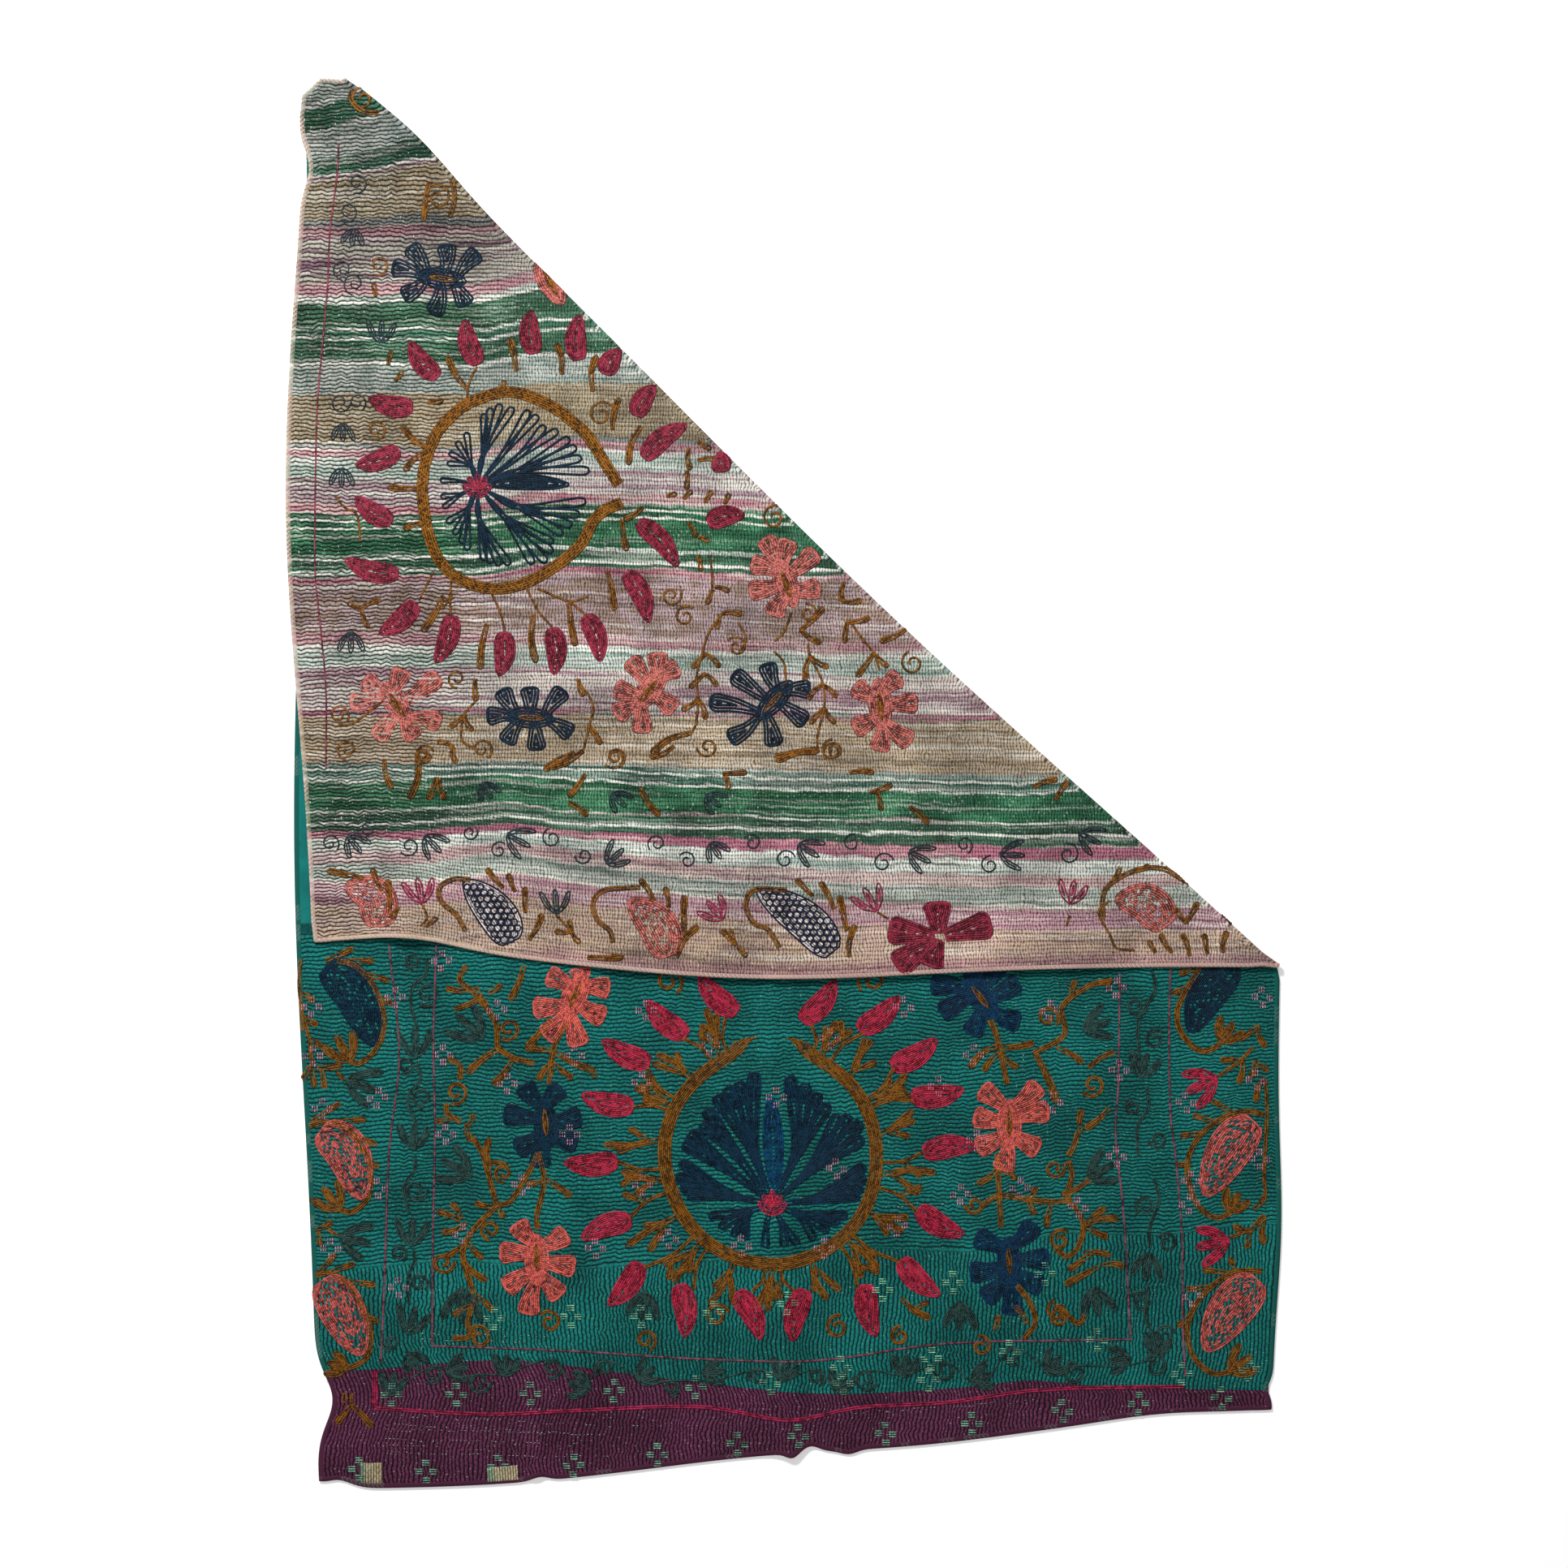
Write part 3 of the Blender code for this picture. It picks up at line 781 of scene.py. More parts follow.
def hem_path():
    """The whole flat outline, counterclockwise: the lower half's edges and, opened out, the turned half's."""
    across_foot = FOLD_END + OUT * (BEND_LENGTH * np.linspace(0, 1, 7)[1:, None])
    across_tip = FOLD_START + OUT * (BEND_LENGTH * np.linspace(1, 0, 7)[:, None])
    turned = np.vstack([FLAP_LEFT, FLAP_BOTTOM[1:-1]])[::-1]
    turned = unfolded(np.vstack([turned, TIP_ROUND + OVERHANG]))
    outline = [BOTTOM, RIGHT_EDGE[1:-1], across_foot, turned, across_tip, TIP_ROUND[None], LEFT_EDGE]
    return np.vstack(outline)


HEM_PROFILE = (
    # inset, height as a share of the plies, swell on a stitch, proud on the turned half
    (0.0068, 0.02, 0.0, 0.0004),
    (0.0034, 0.00, 0.0, -0.0010),
    (0.0004, 0.05, -0.3, -0.0016),
    (-0.0008, 0.30, -0.6, -0.0010),
    (-0.0012, 0.55, -0.8, 0.0),
    (-0.0002, 1.00, -0.4, 0.0),
    (0.0026, 1.32, 0.6, 0.0),
    (0.0062, 1.05, 0.2, 0.0),
)
HEM_SWELL = 0.0006
HEM_STITCH = 0.0067


def hem_colours(flat, along, inset):
    """Teal, plum or cream after the cloth it edges, with the whipping's thread in between."""
    turned = (flat - FOLD_START) @ OUT > BEND_LENGTH * 0.4
    plum = ~turned & (flat[:, 1] < height_on(SEAM, flat[:, 0]))
    stitch = (np.sin(2 * math.pi * along / HEM_STITCH + inset * 900) > 0.35).astype(float)
    pick = noise(along, inset, 0.02, 1.0, 41)
    colour = np.where(plum[:, None], linear("#4a2238"), linear("#15564f"))
    colour = colour + (linear("#8a9a90") - colour) * (stitch * (pick > 0.55) * 0.3)[:, None]
    pale = stripe_colours(mirrored_place(flat))[:, :3]
    pale = pale + (linear("#8a5c68") - pale) * (0.30 + 0.30 * pick)[:, None]
    pale = pale + (linear("#cfc0a8") - pale) * (stitch * (0.70 + 0.30 * pick))[:, None]
    colour = np.where(turned[:, None], pale, colour)
    return np.column_stack([colour, np.ones(len(colour))])


def hem_mesh():
    """The whipped edge: a small half round bead carried along the outline, swelling at each stitch."""
    path = hem_path()
    length = np.linalg.norm(np.diff(path, axis=0), axis=1).sum()
    count = round(length / (HEM_STITCH / 3))
    at = np.arange(count) / count
    line = along_curve(path, at)
    way = np.roll(line, -2, 0) - np.roll(line, 2, 0)
    way = way / np.maximum(np.linalg.norm(way, axis=1), 1e-9)[:, None]
    inwards = np.column_stack([-way[:, 1], way[:, 0]])
    turned = soft_step(((line - FOLD_START) @ OUT) / BEND_LENGTH)
    along = at * length
    swell = HEM_SWELL * np.abs(np.sin(math.pi * along / HEM_STITCH))
    flats, points, colours = [], [], []
    for inset, share, rise, proud in HEM_PROFILE:
        flat = line + inwards * inset
        up = THICK * share + swell * rise + proud * turned
        up = np.where(turned < 0.5, np.maximum(up, 0.0001), up)
        flats.append(flat)
        points.append(laid(flat, up))
        colours.append(hem_colours(flat, along, np.full(count, inset)))
    points = [np.column_stack([ring[:, :2], np.maximum(ring[:, 2], 0.0)]) for ring in points]
    rings = len(HEM_PROFILE)
    ids = np.arange(rings * count).reshape(rings, count)
    nxt = np.roll(ids, -1, 1)
    faces = np.stack([ids[:-1], nxt[:-1], nxt[1:], ids[1:]], -1).reshape(-1, 4)
    return np.vstack(points), faces[:, ::-1], np.vstack(colours)


STRIPES = (
    # lower edge, colour, second colour, share of the second, its length, its height
    (0.994, "#848c84", "#acb8af", 0.45, 0.014, 0.006),
    (0.955, "#36654c", "#44775c", 0.40, 0.030, 0.006),
    (0.915, "#99aaa2", "#c1c7bf", 0.50, 0.012, 0.005),
    (0.892, "#39644f", "#608773", 0.35, 0.030, 0.005),
    (0.886, "#846371", "#a38f76", 0.40, 0.060, 0.003),
    (0.829, "#95866c", "#a69a80", 0.45, 0.020, 0.008),
    (0.817, "#787c79", "#999d91", 0.40, 0.060, 0.004),
    (0.803, "#ae8389", "#bd9f9c", 0.40, 0.060, 0.005),
    (0.739, "#aba69b", "#836671", 0.45, 0.150, 0.004),
    (0.721, "#b2858b", "#bf9e9e", 0.40, 0.060, 0.005),
    (0.710, "#c8cbc1", "#99aa9e", 0.35, 0.100, 0.004),
    (0.667, "#406a50", "#598067", 0.40, 0.040, 0.006),
    (0.652, "#41705a", "#b9c2b7", 0.30, 0.200, 0.004),
    (0.622, "#3c654d", "#547a63", 0.40, 0.040, 0.006),
    (0.616, "#cad0c6", "#879e92", 0.30, 0.100, 0.004),
    (0.577, "#8e9d94", "#acb4ab", 0.50, 0.012, 0.006),
    (0.499, "#96866c", "#a5987e", 0.45, 0.020, 0.008),
    (0.493, "#6f7877", "#929590", 0.40, 0.080, 0.004),
    (0.480, "#b08188", "#bf9c9a", 0.40, 0.060, 0.005),
    (0.474, "#cccec5", "#9ea89e", 0.30, 0.100, 0.004),
    (0.450, "#9bada1", "#b7bfb7", 0.45, 0.050, 0.005),
    (0.413, "#9f868d", "#cac5bc", 0.50, 0.200, 0.0045),
    (0.3985, "#ae7782", "#be9998", 0.40, 0.060, 0.005),
    (0.3330, "#2f6246", "#457f5d", 0.40, 0.040, 0.010),
    (0.3280, "#cdd2c8", "#8fa698", 0.30, 0.200, 0.004),
    (0.3145, "#3a5f4a", "#4d7a5f", 0.35, 0.060, 0.005),
    (0.3095, "#cdd2c8", "#8fa698", 0.30, 0.200, 0.004),
    (0.3045, "#3f6650", "#5a8068", 0.35, 0.060, 0.005),
    (0.2960, "#a8697a", "#ba8e90", 0.40, 0.080, 0.005),
    (0.221, "#967f74", "#ac9596", 0.50, 0.018, 0.008),
    (0.203, "#b0858b", "#bd9f9c", 0.40, 0.060, 0.005),
    (0.193, "#cdd0c6", "#a2aea4", 0.30, 0.100, 0.004),
    (0.170, "#98ab9f", "#b7c0b7", 0.45, 0.050, 0.005),
    (0.112, "#9d7f87", "#c3b9b1", 0.50, 0.200, 0.0045),
    (0.101, "#ae7782", "#899388", 0.40, 0.080, 0.005),
    (0.0290, "#ab987e", "#b3a28c", 0.45, 0.020, 0.008),
    (0.0250, "#7d8880", "#9a9d94", 0.40, 0.080, 0.004),
    (0.0010, "#44695a", "#8aa294", 0.40, 0.150, 0.004),
    (-0.0415, "#2f6246", "#457f5d", 0.45, 0.040, 0.012),
    (-0.0445, "#cdd0c6", "#a58f90", 0.35, 0.100, 0.004),
    (-0.0719, "#3e5f4c", "#5b7d67", 0.35, 0.100, 0.004),
    (-0.0834, "#ac6c7e", "#bf8a92", 0.40, 0.080, 0.005),
    (-0.1000, "#a0b2a7", "#d2d6cd", 0.45, 0.100, 0.004),
    (-0.1190, "#ccb6af", "#b59897", 0.50, 0.200, 0.004),
    (-0.1430, "#99a399", "#b4bab0", 0.45, 0.100, 0.005),
    (-0.1480, "#dad5c8", "#c2b4ab", 0.40, 0.100, 0.004),
    (-0.1800, "#b58b95", "#c8a4a8", 0.45, 0.150, 0.005),
    (-0.4000, "#c9ae97", "#bfa293", 0.45, 0.020, 0.008),
)
# Levels of the thin pale threads beside the green stripes.
PALE_THREADS = (0.955, 0.892, 0.712, 0.6705, 0.6560, 0.620, 0.3885, 0.377, 0.3118, 0.0183, 0.0032, -0.0607, -0.0865)
# The stripes climb to the right near the tip, and sink a little to the right near the hem.
TIP_CLIMB = (0.28, 0.975, 0.072)
HEM_SINK = (0.024, -0.10, 0.08, 0.5)
BAND_SINK = (0.008, 0.03, 0.06, 0.4)
# A swell lifts the lower stripes near x = -0.42 m, and the stripes of the middle climb to the right of it.
SWELL = (0.013, -0.42, 0.075)
MIDDLE_CLIMB = (0.019, -0.46, 0.10, 0.24, 0.74)


def stripe_level(mirrored):
    """Which level of the stripes a place of the back has, from where it would lie on the turned half."""
    x, y = mirrored[:, 0], mirrored[:, 1]
    climb, top, fade = TIP_CLIMB
    level = y - climb * (x + 0.71) * np.exp(-np.clip(top - y, 0, None) / fade)
    for sink, below, depth, reach in (HEM_SINK, BAND_SINK):
        level += sink * soft_step((below - y) / depth + 0.5) * soft_step((x + 0.4) / reach)
    rise, middle, wide = SWELL
    level -= rise * np.exp(-((x - middle) / wide) ** 2) * soft_step((0.06 - y) / 0.08)
    rise, start, reach, low, high = MIDDLE_CLIMB
    inside = soft_step((y - low) / 0.10) * (1 - soft_step((y - high) / 0.10))
    level -= rise * soft_step((x - start) / reach) * inside
    return level + 0.0035 * noise(x, y, 0.09, 0.05, 51) + 0.0022 * noise(x, y, 0.018, 0.02, 52)


def stripe_colours(mirrored):
    """The woven stripes: each has two colours, and the second shows where stretched noise is high.

    Thin pale threads run in pairs along the green stripes, which break into darker and lighter blots.
    """
    level = stripe_level(mirrored)
    lower = np.array([row[0] for row in STRIPES])
    which = np.clip(np.searchsorted(-lower, -level), 0, len(STRIPES) - 1)
    first = np.array([linear(row[1]) for row in STRIPES])[which]
    second = np.array([linear(row[2]) for row in STRIPES])[which]
    share, long, tall = (np.array([row[k] for row in STRIPES])[which] for k in (3, 4, 5))
    x, y = mirrored[:, 0], mirrored[:, 1]
    grain = noise(x, level, long, tall, 53)
    amount = soft_step((grain - (1 - 2 * share)) / 0.5 + 0.5)
    colour = first + (second - first) * amount[:, None]
    green = first[:, 1] > first[:, 0] * 1.5
    blot = noise(x, level, 0.030, 0.050, 55) * 0.5 + 0.5
    colour = np.where(green[:, None], colour * (0.62 + 0.62 * blot)[:, None], colour)
    streak = noise(x, level, 0.22, 0.0030, 56)
    pale = soft_step((streak - 0.42) / 0.16) * np.where(green, 0.30, 0.45)
    colour = colour + (linear("#e4e2d8") - colour) * pale[:, None]
    dark = soft_step((-streak - 0.50) / 0.16) * 0.40
    colour = colour * (1 - dark)[:, None]
    edges = np.abs(level[:, None] - np.array(PALE_THREADS)).min(1)
    colour = colour + (linear("#e9e8de") - colour) * (0.85 * (edges < 0.0016))[:, None]
    above_hem = y - height_on(FLAP_BOTTOM, x)
    pinker = 0.55 * (1 - soft_step((above_hem - 0.012) / 0.016)) * soft_step((x + 0.42) / 0.08)
    colour = colour + (linear("#a3707f") - colour) * pinker[:, None]
    colour *= (1 - 0.30 * soft_step((level - 0.60) / 0.25))[:, None]
    colour *= (1 + 0.16 * noise(x, y, 0.10, 0.05, 54))[:, None]
    return np.column_stack([colour, np.ones(len(colour))])


def mirrored_place(flat):
    """Where a point of the flat cloth would lie if it were turned over the fold."""
    offset = flat - FOLD_START
    return FOLD_START + np.outer(offset @ ALONG, ALONG) - np.outer(np.abs(offset @ OUT - BEND_LENGTH), OUT)


def stripes_node(tree):
    return node(tree, "ShaderNodeAttribute", {"attribute_name": "stripes"}).outputs["Color"]


def declared(piece, nodes):
    """Attaches a piece of cloth to the root body and hides the imported solids named for it."""
    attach(piece, "root")
    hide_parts(*nodes)
    return piece


# Chain stitch, in metres: one row's width, one loop's length, and its heights at edge, strand and middle.
CHAIN_ACROSS = (
    # share of the width, height, how far it lags
    (-0.50, 0.0001, 0.42),
    (-0.20, 0.0016, 0.12),
    (0.20, 0.0016, 0.12),
    (0.50, 0.0001, 0.42),
)
BAR_ACROSS = tuple((share, height + 0.0009, lag) for share, height, lag in CHAIN_ACROSS)
FLAT_ACROSS = ((-0.5, 0.0, 0.0), (0.0, 0.0002, 0.0), (0.5, 0.0, 0.0))
TINT_ACROSS = ((-0.5, 0.0004, 0.0), (0.0, 0.0007, 0.0), (0.5, 0.0004, 0.0))
LINE_ACROSS = (
    (-0.50, 0.0006, 0.25),
    (0.00, 0.0018, 0.00),
    (0.50, 0.0006, 0.25),
)



class ThrowThread(bpy.types.PropertyGroup):
    """Sizes and colours of the embroidery thread."""

    row: bpy.props.FloatProperty(
        name="Row", description="From one row of chain stitch to the next", default=0.0029, unit="LENGTH"
    )
    loop: bpy.props.FloatProperty(
        name="Loop", description="Length of one chain loop", default=0.0054, unit="LENGTH"
    )
    back_stitch: bpy.props.FloatProperty(
        name="Back stitch", description="Length of a stitch on the back", default=0.0054, unit="LENGTH"
    )
    back_width: bpy.props.FloatProperty(
        name="Back width", description="Width of a thread on the back", default=0.0034, unit="LENGTH"
    )
    pink: bpy.props.StringProperty(name="Pink", description="Petals round the medallion", default="#a8253f")
    coral: bpy.props.StringProperty(name="Coral", description="Palmettes", default="#c4584e")
    navy: bpy.props.StringProperty(name="Navy", description="Palmettes and fans", default="#07293d")
    blue: bpy.props.StringProperty(name="Blue", description="The leaf in the medallion", default="#05395a")
    ochre: bpy.props.StringProperty(name="Ochre", description="Ring, stems and vines", default="#764a12")
    slate: bpy.props.StringProperty(name="Slate", description="Border vine and tulips", default="#28433f")
    mauve: bpy.props.StringProperty(name="Mauve", description="Border lines on teal", default="#70414f")
    crimson: bpy.props.StringProperty(name="Crimson", description="Border lines on plum", default="#962045")


def mm(*values):
    """Millimetres, as a point or a list of points in metres."""
    return np.array(values, float) / 1000


def polar(angle, length):
    """A step of that length at an angle in degrees, counterclockwise from the right."""
    return np.array((math.cos(math.radians(angle)), math.sin(math.radians(angle)))) * length


def smooth_curve(points, count=24):
    """A Catmull-Rom curve through points: each span is a cubic set by the points around it."""
    points = np.asarray(points, float)
    if len(points) < 3:
        share = np.linspace(0, 1, count)[:, None]
        return points[0] * (1 - share) + points[-1] * share
    padded = np.vstack([2 * points[0] - points[1], points, 2 * points[-1] - points[-2]])
    share = np.linspace(0, 1, count)[:-1, None]
    spans = []
    for a, b, c, d in zip(padded[:-3], padded[1:-2], padded[2:-1], padded[3:]):
        cubic = 2 * b + (c - a) * share + (2 * a - 5 * b + 4 * c - d) * share**2
        spans.append((cubic + (3 * b - a - 3 * c + d) * share**3) / 2)
    return np.vstack(spans + [points[-1:]])


def directions(line):
    """The unit tangents of a line's points, and the normals to their left."""
    way = np.gradient(line, axis=0)
    way = way / np.maximum(np.linalg.norm(way, axis=1), 1e-9)[:, None]
    return way, np.column_stack([-way[:, 1], way[:, 0]])


def petal_width(t):
    """Round near its foot and pointed at its tip."""
    return 1.905 * t**0.36 * (1 - t) ** 0.62


def leaf_width(t):
    """Pointed at both ends."""
    return 2.0**1.3 * (t * (1 - t)) ** 0.65


def wedge_width(t):
    """Widening from the foot to a blunt round end."""
    return (0.44 + 0.62 * t) * (1 - np.clip((t - 0.78) / 0.22, 0, 1) ** 2.6) ** 0.5


def finger_width(t):
    """Widening evenly from a narrow foot to a round end."""
    return (0.34 + 0.66 * t) * (1 - np.clip((t - 0.90) / 0.10, 0, 1) ** 2) ** 0.5


def sprig_width(t):
    """A little narrower at the foot, with a round end."""
    return (0.62 + 0.38 * t) * (1 - np.clip((t - 0.86) / 0.14, 0, 1) ** 2) ** 0.5


def hand_width(t):
    """Widest at two thirds of its length, and pointed."""
    return 1.9 * t**0.8 * (1 - t) ** 0.42 + 0.28 * (1 - t)


def stem_width(t):
    """The same all along, with round ends."""
    return (1 - np.clip(1 - np.minimum(t, 1 - t) / 0.06, 0, 1) ** 2) ** 0.5


def blade(points, half_width, shape, count=24, row=None):
    """Rows of stitches that fill a blade: a spine with a width, in rings that follow its outline inwards.

    Ring j lies where the half width less j and a half rows is above zero, on both sides of the spine. What
    is left in the middle takes one row along the spine.
    """
    row = row or bpy.context.scene.throw_thread.row
    spine = along_curve(smooth_curve(points, count), np.linspace(0, 1, 49))
    _, normal = directions(spine)
    width = half_width * shape(np.linspace(0, 1, 49))
    runs, j = [], 0
    while width.max() > (j + 0.5) * row:
        inner = width - (j + 0.5) * row
        kept = np.flatnonzero(inner > 0)
        if len(kept) > 2:
            side = normal[kept] * inner[kept][:, None]
            runs.append(np.vstack([spine[kept] + side, (spine[kept] - side)[::-1], (spine[kept] + side)[:1]]))
        j += 1
    kept = np.flatnonzero(width - j * row > 0.12 * row)
    if len(kept) > 2:
        runs.append(spine[kept])
    return runs


def side_by_side(line, rows, row=None):
    """Rows of stitches beside each other along a line."""
    _, normal = directions(line)
    row = row or bpy.context.scene.throw_thread.row
    return [line + normal * (k - (rows - 1) / 2) * row for k in range(rows)]


def spiral(centre, radius, start, turns, way=1, inner=0.22):
    """A line that winds in to a centre: its distance shrinks evenly with its angle."""
    share = np.linspace(0, 1, 40)
    angle = math.radians(start) + way * share * turns * 2 * math.pi
    reach = radius * (1 - (1 - inner) * share)
    return centre + np.column_stack([np.cos(angle), np.sin(angle)]) * reach[:, None]


def thread_mesh(runs, across, width, pitch, on, seed):
    """Stitches along many lines at once: a cross profile carried along each, two rings a stitch.

    Rings stand higher in the middle of a stitch than at its ends, and lag behind away from the middle, so
    that stitches look like loops. shade is a random tone for each stitch, with a painted highlight in its middle and
    painted shade darkening its edges.
    """
    share, tall, lag = (np.array([row[k] for row in across]) for k in range(3))
    seen, lift, shade, faces, count = [], [], [], [], 0
    for number, run in enumerate(runs):
        length = np.linalg.norm(np.diff(run, axis=0), axis=1).sum()
        stitches = max(round(length / pitch), 1)
        line = along_curve(run, np.linspace(0, 1, 2 * stitches + 1))
        way, normal = directions(line)
        rings = len(line)
        spots = line[:, None] + normal[:, None] * (share * width)[:, None] - way[:, None] * (lag * pitch)[:, None]
        middle = (np.arange(rings) % 2)[:, None]
        tone = lattice(np.arange(rings) // 2, np.full(rings, number), seed)[:, None]
        seen.append(spots.reshape(-1, 2))
        lift.append((tall * (0.55 + 0.45 * middle) + 0.0002).ravel())
        # Random dye tone, plus a painted highlight in the middle of each stitch and painted shade at its edges.
        shade.append((tone * 0.55 + middle * 0.5 - 0.1 - 5.2 * share**2).ravel())
        ids = count + np.arange(rings * len(share)).reshape(rings, len(share))
        quads = np.stack([ids[:-1, :-1], ids[1:, :-1], ids[1:, 1:], ids[:-1, 1:]], -1)
        faces.append(quads.reshape(-1, 4))
        count += rings * len(share)
    return on(np.vstack(seen), np.concatenate(lift)), np.vstack(faces)[:, ::-1], np.concatenate(shade)


def cotton_thread(name, colour, depth=0.95):
    """Six-strand mercerised cotton: a soft sheen along the strands, its dye uneven from stitch to stitch, with each
    stitch's painted highlight and painted shade from the shade attribute.
    """
    material, tree, shader = new_material(name, 0.62)
    # tone reads the shade attribute: random dye tone, a painted highlight mid-stitch and painted shade at the stitch
    # edges; depth scales all three.
    tone = node(tree, "ShaderNodeAttribute", {"attribute_name": "shade"}).outputs["Fac"]
    place = node(tree, "ShaderNodeTexCoord").outputs["Object"]
    dye = node(tree, "ShaderNodeTexNoise", Vector=place, Scale=30.0, Detail=3.0).outputs["Fac"]
    fibre = node(tree, "ShaderNodeTexNoise", Vector=place, Scale=1100.0, Detail=1.0).outputs["Fac"]
    level = maths(tree, "ADD", node_value(tree, tone, depth, 1.0), node_value(tree, dye, 0.8, -0.40))
    level = maths(tree, "MAXIMUM", maths(tree, "MULTIPLY", level, node_value(tree, fibre, 0.5, 0.75)), 0.08)
    seen = mixed(tree, 1.0, rgba(colour), level, "MULTIPLY")
    tree.links.new(seen, shader.inputs["Base Color"])
    shader.inputs["Specular IOR Level"].default_value = 0.12
    shader.inputs["Sheen Weight"].default_value = 0.04
    shader.inputs["Sheen Roughness"].default_value = 0.4
    return material


MEDALLION = mm(-19, -554)
KNOT = mm(-17, -624)
RING_RADIUS = 0.158
PETALS = (
    # angle from the medallion's centre in degrees, distance in mm, lean in degrees
    (108, 253, 27), (127, 256, 12), (144, 265, 10), (161, 256, 6), (181.5, 267, 0), (204, 267, -4),
    (221, 288, 12), (240, 264, 36), (262, 238, 35), (280, 239, -24), (303, 272, -22), (321, 285, -4),
    (339, 270, -9), (2, 265, 5), (21, 264, -13), (36, 262, -5), (53, 266, -14), (73, 241, -23),
)
FANS = (
    # each group's waist, then its finger tips, as x, y in mm from the knot
    ((-26, 70), (-27, 198), (-50, 184), (-69, 175), (-85, 163)),
    ((-52, 72), (-99, 142), (-107, 119)),
    ((-56, 44), (-125, 107), (-134, 91)),
    ((-54, 10), (-139, 63), (-145, 41), (-138, 24), (-128, 12)),
    ((-34, -10), (-95, -19), (-79, -36), (-59, -49), (-40, -53)),
    ((-8, -26), (-11, -65)),
    ((14, -28), (18, -64), (38, -60)),
    ((36, -14), (63, -54), (85, -41), (101, -28), (113, -18)),
    ((58, 4), (131, 12), (136, 24), (140, 40), (139, 57)),
    ((52, 46), (137, 98), (134, 122), (116, 133), (99, 134)),
    ((36, 72), (84, 150), (69, 167), (50, 181), (26, 192)),
)
PALMETTES = (
    # colour, x, y in mm, slant of its middle in degrees, then angle and length in mm of each petal
    ("coral", -309, -314, 66, (145, 51), (80, 40), (9, 52), (-38, 56), (275, 77), (234, 78), (198, 66)),
    ("navy", -353, -504, 95, (120, 66), (66, 58), (12, 54), (-33, 56), (262, 66), (222, 60), (168, 64)),
    ("coral", -366, -704, 91, (120, 60), (172, 56), (224, 66), (261, 86), (301, 68), (347, 59), (39, 58)),
    ("blue", 291, -318, 128, (20, 62), (-33, 70), (257, 58), (203, 64), (166, 76), (100, 54), (60, 60)),
    ("coral", 334, -504, 90, (52, 72), (16, 62), (-42, 60), (262, 72), (218, 62), (169, 54), (130, 66)),
    ("blue", 334, -709, 93, (57, 68), (3, 60), (-38, 62), (273, 80), (236, 68), (196, 61), (144, 62)),
)

LEFT_STEMS = (
    # points of each stem, x, y in mm
    ((-471, -272), (-480, -293), (-457, -314), (-428, -355), (-424, -393)),
    ((-424, -393), (-401, -408), (-369, -416)),
    ((-498, -408), (-480, -420), (-480, -441)),
    ((-500, -476), (-498, -491), (-478, -503)),
    ((-461, -526), (-445, -554), (-432, -603), (-426, -625)),
    ((-426, -625), (-404, -619), (-373, -568), (-364, -547)),
    ((-436, -563), (-418, -565), (-408, -572)),
    ((-426, -628), (-454, -656), (-471, -681), (-475, -706), (-459, -759)),
    ((-459, -766), (-468, -801), (-461, -825)),
    ((-364, -547), (-355, -591), (-366, -642), (-364, -664)),
    ((-321, -354), (-341, -395), (-348, -448)),
    ((-446, -318), (-470, -330), (-489, -336)),
    ((-458, -810), (-470, -822), (-492, -824)),
)
LEFT_LEAVES = (
    # from x, y to x, y in mm
    (-468, -307, -500, -304), (-456, -303, -441, -330), (-385, -272, -406, -323), (-424, -395, -470, -431),
    (-403, -413, -431, -448), (-344, -397, -383, -393), (-337, -401, -281, -427), (-341, -413, -364, -441),
    (-341, -416, -313, -438), (-493, -498, -516, -502), (-468, -508, -460, -492), (-471, -506, -465, -531),
    (-437, -575, -437, -526), (-429, -628, -457, -623), (-480, -648, -514, -635), (-478, -646, -493, -623),
    (-471, -653, -507, -667), (-424, -628, -416, -645), (-471, -683, -504, -705), (-468, -681, -446, -705),
    (-475, -709, -440, -738), (-355, -591, -380, -596), (-350, -589, -315, -613), (-345, -351, -380, -392),
    (-282, -425, -281, -437), (-437, -312, -418, -300), (-455, -760, -432, -782), (-462, -775, -490, -790),
)
RIGHT_STEMS = (
    # points of each stem, x, y in mm
    ((486, -293), (451, -302), (413, -332), (415, -374), (369, -402)),
    ((489, -399), (468, -409), (451, -423)),
    ((436, -519), (429, -540), (421, -554)),
    ((422, -561), (427, -582), (422, -607), (447, -593), (454, -586)),
    ((426, -619), (398, -621), (362, -618), (320, -612), (292, -628)),
    ((429, -625), (444, -655), (436, -688), (419, -702), (401, -688)),
    ((346, -745), (366, -773), (372, -801), (355, -825)),
    ((316, -551), (318, -589), (322, -660)),
    ((306, -352), (318, -385), (331, -448)),
    ((408, -780), (436, -801), (447, -787)),
)
RIGHT_LEAVES = (
    # from x, y to x, y in mm
    (454, -300, 484, -296), (426, -318, 433, -293), (373, -402, 405, -475), (405, -393, 443, -416),
    (482, -483, 447, -513), (440, -519, 441, -485), (447, -655, 476, -630), (447, -655, 496, -646),
    (447, -656, 480, -674), (444, -697, 484, -701), (454, -699, 422, -723), (465, -718, 417, -744),
    (472, -715, 504, -717), (316, -573, 287, -595), (322, -575, 344, -587), (315, -390, 275, -423),
    (322, -393, 371, -386), (318, -402, 296, -428), (325, -404, 347, -423), (361, -616, 374, -599),
    (396, -625, 389, -659), (362, -619, 372, -639), (426, -625, 413, -607), (360, -800, 342, -775),
    (175, -765, 217, -794), (196, -780, 214, -770), (313, -810, 318, -790),
)
